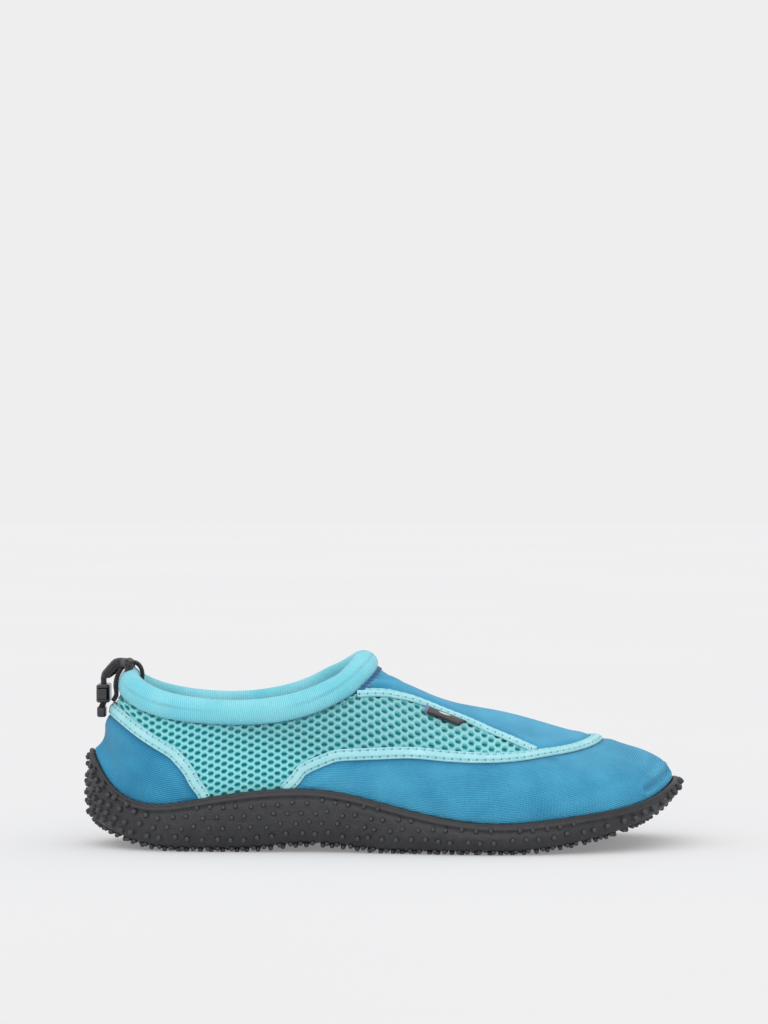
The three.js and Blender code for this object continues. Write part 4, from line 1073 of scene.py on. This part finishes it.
for row in range(-11, 12):
    for column in range(-24, 25):
        x, y = (column + 0.5 * (row % 2)) * TREAD_STEP, row * TREAD_STEP * 0.86
        x, y = x + rng.uniform(-0.5, 0.5), y + rng.uniform(-0.5, 0.5)
        spot = np.array([[x, y]])
        if inside(spot, outline)[0] and distance_to(spot, outline)[0] > TREAD_INSET:
            nub_places.append(((x, y, float(sole_at(x))), (0, 0, -1), 1.25, NUB_HEIGHT))
count = int(rim_run[-1] / WALL_STEP)
for row in range(1, 9):
    for i in range(count):
        s = ((i + 0.5 * (row % 2)) / count) * rim_run[-1] + rng.uniform(-1.0, 1.0)
        k = station_along_rim(s)
        x = float(rim_x(k))
        end = float(smooth((abs(x) - 85) / 30))
        bottom, top = float(sole_at(x)), float(rim_z(k))
        z = bottom + 0.2 + row * WALL_ROW * (1 - 0.12 * end) + rng.uniform(-0.7, 0.7)
        if z > top - 2.9 + 0.9 * end:
            continue
        u = float(np.interp((z - bottom) / (top - bottom), WALL_SHARE, np.linspace(0, 1, 60)))
        foot = wall_point(k, u)
        up = wall_point(k, min(u + 0.02, 1)) - wall_point(k, max(u - 0.02, 0))
        along = wall_point(k + 0.02, u) - wall_point(k - 0.02, u)
        direction = unit(np.cross(up, along))
        size = 1.0 + 0.22 * end + (0.12 if row < 2 else 0)
        height = (1.05 + 0.55 * end) if row > 1 else (1.5 + 0.3 * end)
        nub_places.append((foot, direction, 1.08 * size, height))
count = int(rim_run[-1] / EDGE_STEP)
for row, (share, length) in enumerate(((0.004, 2.5), (0.1, 1.8))):
    for i in range(count):
        s = (i + 0.5 * row + rng.uniform(-0.2, 0.2)) / count * rim_run[-1]
        k = station_along_rim(s)
        direction = unit(plan_normal(np.array([k]))[0] + np.array([0, 0, -0.9 + 0.5 * row]))
        nub_places.append((wall_point(k, share), direction, 1.2, length))
nub_points, nub_faces, nub_tip_wear_and_highlight, start = [], [], [], len(cup_points)
for foot, direction, radius, height in nub_places:
    points, faces, tip_wear_and_highlight = dome(radius, radius * 0.8, height)
    d = unit(np.array(direction, float))
    a = unit(np.cross(d, [0.3, 0.9, 0.1]))
    b = np.cross(d, a)
    nub_points.append(points @ np.stack([a, b, d]) + np.array(foot))
    nub_faces.append(faces + start)
    nub_tip_wear_and_highlight.append(tip_wear_and_highlight)
    start += len(points)
sole_points = np.vstack([cup_points, *nub_points])
sole_points[:, 2] = np.maximum(sole_points[:, 2], 0)  # the lowest nubs are pressed flat on the ground
sole_lay = np.zeros((len(sole_points), 3))
sole_lay[len(cup_points):, 2] = np.concatenate(nub_tip_wear_and_highlight)
piece("outsole", sole_points, np.vstack([cup_tri, *nub_faces]), RUBBER.material, replaces="outsole",
      slot="sole_rubber", lay=sole_lay, angle=55)

bed_edge = -(TUCK + NEOPRENE + 3.2 * CLEARANCE)
bed_bottom = lambda x: floor_at(x) + 2 * CLEARANCE + BOARD
bed_top = lambda x: bed_bottom(x) + FOOTBED
bed_row = lambda out, z: beside_rim(loop_k, np.full(AROUND, bed_edge + out), z)
bed_rows = [bed_row(-0.3, bed_bottom), bed_row(0, lambda x: bed_bottom(x) + 0.4),
            bed_row(0, lambda x: bed_top(x) - 1.1), bed_row(-0.35, lambda x: bed_top(x) - 0.35), bed_row(-1.1, bed_top)]
bed_points, bed_tri = dish(bed_rows, lambda x, y: bed_bottom(x), lambda x, y: bed_top(x) - 0.25 * hill(y, 14))
piece("footbed", bed_points, bed_tri, FOAM.material, replaces="footbed", slot="footbed_foam")

# ---------------------------------------------------------------- collar roll
ROLL_AROUND, ROLL_SIDES = 400, 28


def inflate(points, tri, pinned, grow, cap):
    """The cloth filled from inside: pinned points stay, and none moves more than cap. Simulated 20 times as large."""
    SCALE_UP = 20
    obj = smooth_mesh("inflating", points * SCALE_UP, tri, angle=0)
    group = obj.vertex_groups.new(name="pin")
    group.add([int(i) for i in np.flatnonzero(pinned)], 1.0, "REPLACE")
    modifier = obj.modifiers.new("cloth", "CLOTH")
    settings = modifier.settings
    settings.quality, settings.mass, settings.tension_stiffness = 4, 0.3, 12
    settings.compression_stiffness, settings.bending_stiffness = 12, 0.6
    settings.shrink_min = settings.shrink_max = -grow
    settings.use_pressure, settings.uniform_pressure_force = True, 4
    settings.vertex_group_mass, settings.effector_weights.gravity = "pin", 0
    for number in range(1, 21):
        bpy.context.scene.frame_set(number)
    evaluated = obj.evaluated_get(bpy.context.evaluated_depsgraph_get())
    moved = np.zeros(3 * len(points), np.float32)
    evaluated.data.vertices.foreach_get("co", moved)
    bpy.context.scene.frame_set(1)
    bpy.data.objects.remove(obj)
    move = moved.reshape(-1, 3) / (SCALE_UP * MM) - points
    far = np.linalg.norm(move, axis=1, keepdims=True)
    return points + move * np.minimum(1, cap / np.maximum(far, 1e-9))


roll_k = np.repeat(np.arange(ROLL_AROUND) * LOOP / ROLL_AROUND, ROLL_SIDES)
roll_angle = np.tile((np.arange(ROLL_SIDES) + 0.5) * 2 * np.pi / ROLL_SIDES, ROLL_AROUND)
hang = np.abs((roll_angle + math.radians(52) + np.pi) % (2 * np.pi) - np.pi)
plump = 0.15 + 0.9 * hill(hang, math.radians(55))
plump = mix(plump, -0.35, hill(roll_k - LAST, 0.9))
roll_points = roll_point(roll_k, roll_angle, plump)
roll_tri = outward(roll_points, grid_faces(ROLL_AROUND, ROLL_SIDES, True, True))
foot = np.abs((roll_angle - 1.5 * np.pi + np.pi) % (2 * np.pi) - np.pi) < 0.35
roll_points = inflate(roll_points, roll_tri, foot, 0.02, 0.4)
centres = roll_frame(np.arange(ROLL_AROUND) * LOOP / ROLL_AROUND)[0]
roll_run = run_along(centres)
roll_lay = np.stack([np.repeat(roll_run, ROLL_SIDES), roll_angle * 5, 0 * roll_angle], 1)
collar = piece("collar", roll_points, roll_tri, COLLAR.material, replaces="collar", slot="collar_neoprene",
               lay=roll_lay, angle=0)

# A dark stitched strip where the tongue meets the roll, and the roll's own stitches over the mesh.
COLLAR_STITCH = 1.8
front_line = np.stack([np.linspace(-2.8, 2.8, 121), np.full(121, 0.98)], 1)
v, tri = tape(front_line, SEAM_STRIP, 9, 0.5)
from_edge = SEAM_STRIP / 2 - np.abs(v[:, 3])
cloth("collar_seam", v, tri, 0.85 + 0.3 * smooth(from_edge / 0.3), -0.2, SEAM_TAPE,
      np.stack([v[:, 2], from_edge, np.sign(v[:, 3])], 1), slot="blue_neoprene")
points, faces, lay = stitches(v, [(v[0, 3], 0.0), (v[8, 3], SEAM_STRIP_PITCH / 2)], SEAM_STRIP_PITCH, 0.66, 0.17, 0.8)
piece("collar_seam_stitches", points, faces, WHITE_THREAD.material, slot="blue_neoprene", lay=lay, angle=0)
for name, sign in (("outer", 1), ("inner", -1)):
    k = np.linspace(3.3, 9.8, 160) * sign
    v, _ = tape(np.stack([k, np.full(160, 0.975)], 1), 1.6, 3, 0.5)
    rows = [(v[1, 3], 0.0), (v[0, 3], COLLAR_STITCH / 2)]
    points, faces, lay = stitches(v, rows, COLLAR_STITCH, 0.12, THREAD_RADIUS, 0.8)
    piece("collar_stitches_" + name, points, faces, TEAL_THREAD.material, slot="air_mesh", lay=lay, angle=0)

# ---------------------------------------------------------------- label
fine = seam_line(TONGUE_SEAM, 40)
fine = fine[fine[:, 1] < LABEL_TOP]
run = run_along(seam_points(fine))
LABEL_DROP = 8.0  # its width over the surface, below the tape
LABEL_SHIFT = -(TONGUE_BINDING_WIDTH / 2 - 0.2 + LABEL_DROP / 2)
LABEL_START, LABEL_REACH = 1.5, 1.12 * LABEL_LENGTH  # along the seam
v, tri = tape(fine[(run > LABEL_START) & (run <= LABEL_START + LABEL_REACH)], LABEL_DROP, 23, 0.4, LABEL_SHIFT)
down = LABEL_DROP / 2 - v[:, 3]
slanted = v[:, 2] - 0.16 * down
v, tri = clip(np.column_stack([v, down, slanted]), tri, slanted + 0.3)
down, s = v[:, 4], v[:, 5]
fold = hill(s - 0.2, 1.0)
bow = 0.35 * np.sin(np.pi * np.clip(s / LABEL_LENGTH, 0, 1)) * down / LABEL_DROP
front = 0.9 + 1.0 * smooth(down / 5) + bow + 0.5 * fold
edge_round = 0.35 * (hill(down, 0.25) + hill(LABEL_DROP - down, 0.3))
cloth("side_label", v, tri, front - edge_round, front - 1.1, LABEL, np.stack([s, down, 0 * s], 1),
      replaces="side_label", slot="black_webbing", angle=55)

# ---------------------------------------------------------------- heel strap
STRAP_FULL = 1.8  # thickness with its stitches and fold
STRAP_ACROSS = 13
last_centre, centre_before = (roll_frame(np.array(k))[0] for k in (float(LAST), LAST - 1.0))
strap_half = STRAP_WIDTH / 2 / np.linalg.norm(centre_before - last_centre)
across = np.linspace(-1, 1, STRAP_ACROSS)
middle_lift = STRAP_CLEARANCE + STRAP_FULL / 2
half_thick = STRAP_FULL / 2 * np.sqrt(np.clip(1 - across**8, 0.12, 1))


def strap_sheet(side):
    k = LAST + across * strap_half
    lift = middle_lift + side * half_thick
    foot = [offset(k, np.full(STRAP_ACROSS, t), lift) for t in np.linspace(0.86, 0.96, 8)]
    over = [roll_point(k, np.full(STRAP_ACROSS, math.radians(a)), lift) for a in np.linspace(-48, 202, 60)]
    rows = np.stack(foot + over)
    for _ in range(3):
        rows[1:-1] = (rows[:-2] + 2 * rows[1:-1] + rows[2:]) / 4
    return rows


front, back = strap_sheet(1), strap_sheet(-1)
strap_run = run_along(front[:, 6])
lay = np.stack(np.broadcast_arrays(strap_run[:, None], across[None] * STRAP_WIDTH / 2, 0.0), -1).reshape(-1, 3)
points = np.vstack([front.reshape(-1, 3), back.reshape(-1, 3)])
tri = outward(points, thicken(grid_faces(len(front), STRAP_ACROSS), len(front) * STRAP_ACROSS))
piece("heel_strap", points, tri, WEBBING.material, replaces="heel_strap", slot="black_webbing",
      lay=np.vstack([lay, lay]), angle=60)

# ---------------------------------------------------------------- drawcord
heel_foot = surface(float(LAST), 1.0)
lock = heel_foot + np.array([-LOCK_BEHIND - LOCK_DEPTH / 2, 0, 0.6])
lock_top = lock[2] + LOCK_HEIGHT / 2
end_low, end_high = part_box("cord_end")
cord_end_x = (end_low.x + end_high.x) / 2 / MM
cord_end_top = end_high.z / MM


def tail(side):
    spread = CORD_SPACING / 2
    x, y, z = lock[0], side * spread, lock_top
    lean = 0.9 * side  # one tail lies a little behind the other
    return [(cord_end_x, y, cord_end_top - CORD_END_GRIP), (cord_end_x, y, cord_end_top),
            (cord_end_x, y, cord_end_top + 0.3), (x, y, z - LOCK_HEIGHT - 0.5), (x, y, z - LOCK_HEIGHT - 0.1),
            (x, y, z - 0.75 * LOCK_HEIGHT), (x, y, z - LOCK_HEIGHT / 2), (x, y, z), (x, y, z + 1.6), (x, y, z + 2.9),
            (x + 2.1 + 0.6 * lean, 1.3 * y, z + 4.9), (x + 4.5 + lean, 1.6 * y, z + 7.1 - 0.2 * lean),
            (x + 6.8 + lean, 1.9 * y, z + 9.0 - 0.5 * lean), (x + 9.2 + 0.5 * lean, 2.3 * y, z + 9.3 - 0.5 * lean)]


def exits(k):
    return [roll_point(k, 1.0, 2.0), roll_point(k, 1.0, 0.5), roll_frame(np.array(k))[0]]


channel_k = np.arange(LAST - CORD_EXIT - 0.5, -(LAST - CORD_EXIT - 0.4), -0.2)
anchors = np.array(tail(-1) + exits(LAST - CORD_EXIT) + list(roll_frame(channel_k)[0])
                   + exits(-(LAST - CORD_EXIT))[::-1] + tail(1)[::-1])


def smooth_path(anchors, step):
    """A centripetal Catmull-Rom line through the anchors, at equal steps."""
    p = np.vstack([2 * anchors[0] - anchors[1], anchors, 2 * anchors[-1] - anchors[-2]])
    knots = np.r_[0, np.cumsum(np.sqrt(np.linalg.norm(np.diff(p, axis=0), axis=1)))]
    found = []
    for i in range(1, len(p) - 2):
        a, b, c, d = knots[i - 1:i + 3]
        for u in np.linspace(b, c, 9)[:-1]:
            ab = mix(p[i - 1], p[i], (u - a) / (b - a))
            bc = mix(p[i], p[i + 1], (u - b) / (c - b))
            cd = mix(p[i + 1], p[i + 2], (u - c) / (d - c))
            found.append(mix(mix(ab, bc, (u - a) / (c - a)), mix(bc, cd, (u - b) / (d - b)), (u - b) / (c - b)))
    found = np.array(found + [anchors[-1]])
    run = run_along(found)
    s = np.linspace(0, run[-1], int(run[-1] / step) + 1)
    return np.stack([np.interp(s, run, found[:, i]) for i in range(3)], 1), s


def swept(path, s, radius, sides=14):
    along = unit(np.gradient(path, axis=0))
    across, frames = np.array([0.0, 1.0, 0.0]), []
    for d in along:
        across = unit(across - d * across.dot(d))
        frames.append(across)
    across = np.array(frames)
    other = np.cross(along, across)
    a = np.arange(sides) * 2 * np.pi / sides
    circle = across[:, None] * np.cos(a)[:, None] + other[:, None] * np.sin(a)[:, None]
    points = path[:, None] + circle * radius[:, None, None]
    caps = [(0, j + 1, j) for j in range(1, sides - 1)]
    last = (len(path) - 1) * sides
    caps += [(last, last + j, last + j + 1) for j in range(1, sides - 1)]
    lay = np.stack(np.broadcast_arrays(s[:, None], a[None], 0.0), -1).reshape(-1, 3)
    points = points.reshape(-1, 3)
    return points, outward(points, np.vstack([grid_faces(len(path), sides, closed_b=True), caps])), lay


cord_path, cord_run = smooth_path(anchors, 0.45)
CORD_BAND_RADIUS = 2.0  # above the lock's travel, where the tails show as a wider band
above = smooth((cord_path[:, 2] - lock_top - LOCK_TRAVEL - 0.3) / 1.6)
points, tri, lay = swept(cord_path, cord_run, mix(CORD_RADIUS, CORD_BAND_RADIUS, above))
drawcord = piece("drawcord", points, tri, CORD.material, replaces="drawcord", slot="elastic_cord", lay=lay, angle=60)

# ---------------------------------------------------------------- spring in the lock
SPRING_TURNS, SPRING_WIRE, BUTTON_TRAVEL = 3, 0.22, 2.0
low, high = (np.array(corner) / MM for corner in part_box("lock_spring"))
turn = np.linspace(0, 2 * np.pi * SPRING_TURNS, 100)
coil = (high[2] - low[2]) / 2 - SPRING_WIRE
middle = (low + high) / 2
helix = np.stack([middle[0] + coil * np.cos(turn), np.linspace(low[1] + SPRING_WIRE, high[1] - SPRING_WIRE, 100),
                  middle[2] + coil * np.sin(turn)], 1)
points, tri, lay = swept(helix, turn, np.full(100, SPRING_WIRE), 10)
spring = piece("lock_spring", points, tri, STEEL.material, replaces="lock_spring", slot="spring_steel", body="lock",
               lay=lay, angle=60)
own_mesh(spring)

# ---------------------------------------------------------------- hard pieces that keep their CAD shape
WELD = 0.02
for name, finish, width in (("lock_body", PLASTIC, 0.6), ("lock_button", PLASTIC, 0.3), ("cord_end", PLASTIC, 0.5),
                            ("insole_board", FIBRE, 0)):
    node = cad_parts[name]
    node.data.materials.clear()
    node.data.materials.append(finish.material)
    weld = node.modifiers.new("weld", "WELD")
    weld.merge_threshold = WELD * MM
    if width:
        bevel = node.modifiers.new("bevel", "BEVEL")
        bevel.width, bevel.segments, bevel.angle_limit = width * MM, 3, math.radians(25)
        bevel.harden_normals = False

# ---------------------------------------------------------------- floor, light and camera
scene = bpy.context.scene
scene.view_settings.view_transform = "Standard"
FLOOR_GLOW = 0.215  # brings the floor to the backdrop's brightness


def floor_finish():
    f = Finish("pale floor", 0.9, Specular_IOR_Level=0.0)
    f.colour(f.mix(f.noise(0.002, 2), rgb(199, 199, 201), rgb(203, 203, 204)))
    f.shader.inputs["Emission Color"].default_value = (1, 1, 1, 1)
    f.shader.inputs["Emission Strength"].default_value = FLOOR_GLOW
    return f


FLOOR_HALF, FLOOR_DROP = 6000, 0.02
corners = [[x * FLOOR_HALF, y * FLOOR_HALF, -FLOOR_DROP] for x, y in ((-1, -1), (1, -1), (1, 1), (-1, 1))]
floor = smooth_mesh("floor", np.array(corners), np.array([[0, 1, 2], [0, 2, 3]]), angle=0)
floor.data.materials.append(floor_finish().material)

BACKDROP = rgb(238, 238, 238)
world = bpy.data.worlds.new("studio")
scene.world = world
world.use_nodes = True
tree = world.node_tree
ambient = tree.nodes["Background"]
ambient.inputs["Color"].default_value = (1, 1, 1, 1)
ambient.inputs["Strength"].default_value = 0.8
backdrop = tree.nodes.new("ShaderNodeBackground")
backdrop.inputs["Color"].default_value = BACKDROP
seen = tree.nodes.new("ShaderNodeLightPath")
choose = tree.nodes.new("ShaderNodeMixShader")
tree.links.new(seen.outputs["Is Camera Ray"], choose.inputs[0])
tree.links.new(ambient.outputs[0], choose.inputs[1])
tree.links.new(backdrop.outputs[0], choose.inputs[2])
tree.links.new(choose.outputs[0], tree.nodes["World Output"].inputs["Surface"])


def sun(name, strength, spread, toward):
    light = bpy.data.lights.new(name, "SUN")
    light.energy, light.angle = strength, math.radians(spread)
    obj = bpy.data.objects.new(name, light)
    scene.collection.objects.link(obj)
    obj.rotation_mode = "QUATERNION"
    obj.rotation_quaternion = Vector(toward).to_track_quat("Z", "Y")


sun("overhead", 0.85, 90, (-0.2, -0.3, 1))
sun("front", 0.5, 60, (-0.1, -1, 0.4))

CAMERA_DISTANCE, SENSOR = 1600, 36
FRAME_HEIGHT = 454.7  # millimetres across the picture's long side, at the shoe
AIM_HEIGHT, AIM_X = 147, -0.2
EYE_BASE = 40
ELEVATION = math.radians(5)
camera = bpy.data.cameras.new("camera")
camera.sensor_width = SENSOR
camera.lens = SENSOR * CAMERA_DISTANCE / FRAME_HEIGHT
camera.clip_start, camera.clip_end = 0.1, 100
view = bpy.data.objects.new("camera", camera)
scene.collection.objects.link(view)
eye = Vector((AIM_X, -CAMERA_DISTANCE * math.cos(ELEVATION), EYE_BASE + CAMERA_DISTANCE * math.sin(ELEVATION))) * MM
view.location = eye
view.rotation_mode = "QUATERNION"
view.rotation_quaternion = (Vector((AIM_X, 0, AIM_HEIGHT)) * MM - eye).to_track_quat("-Z", "Y")
scene.camera = view
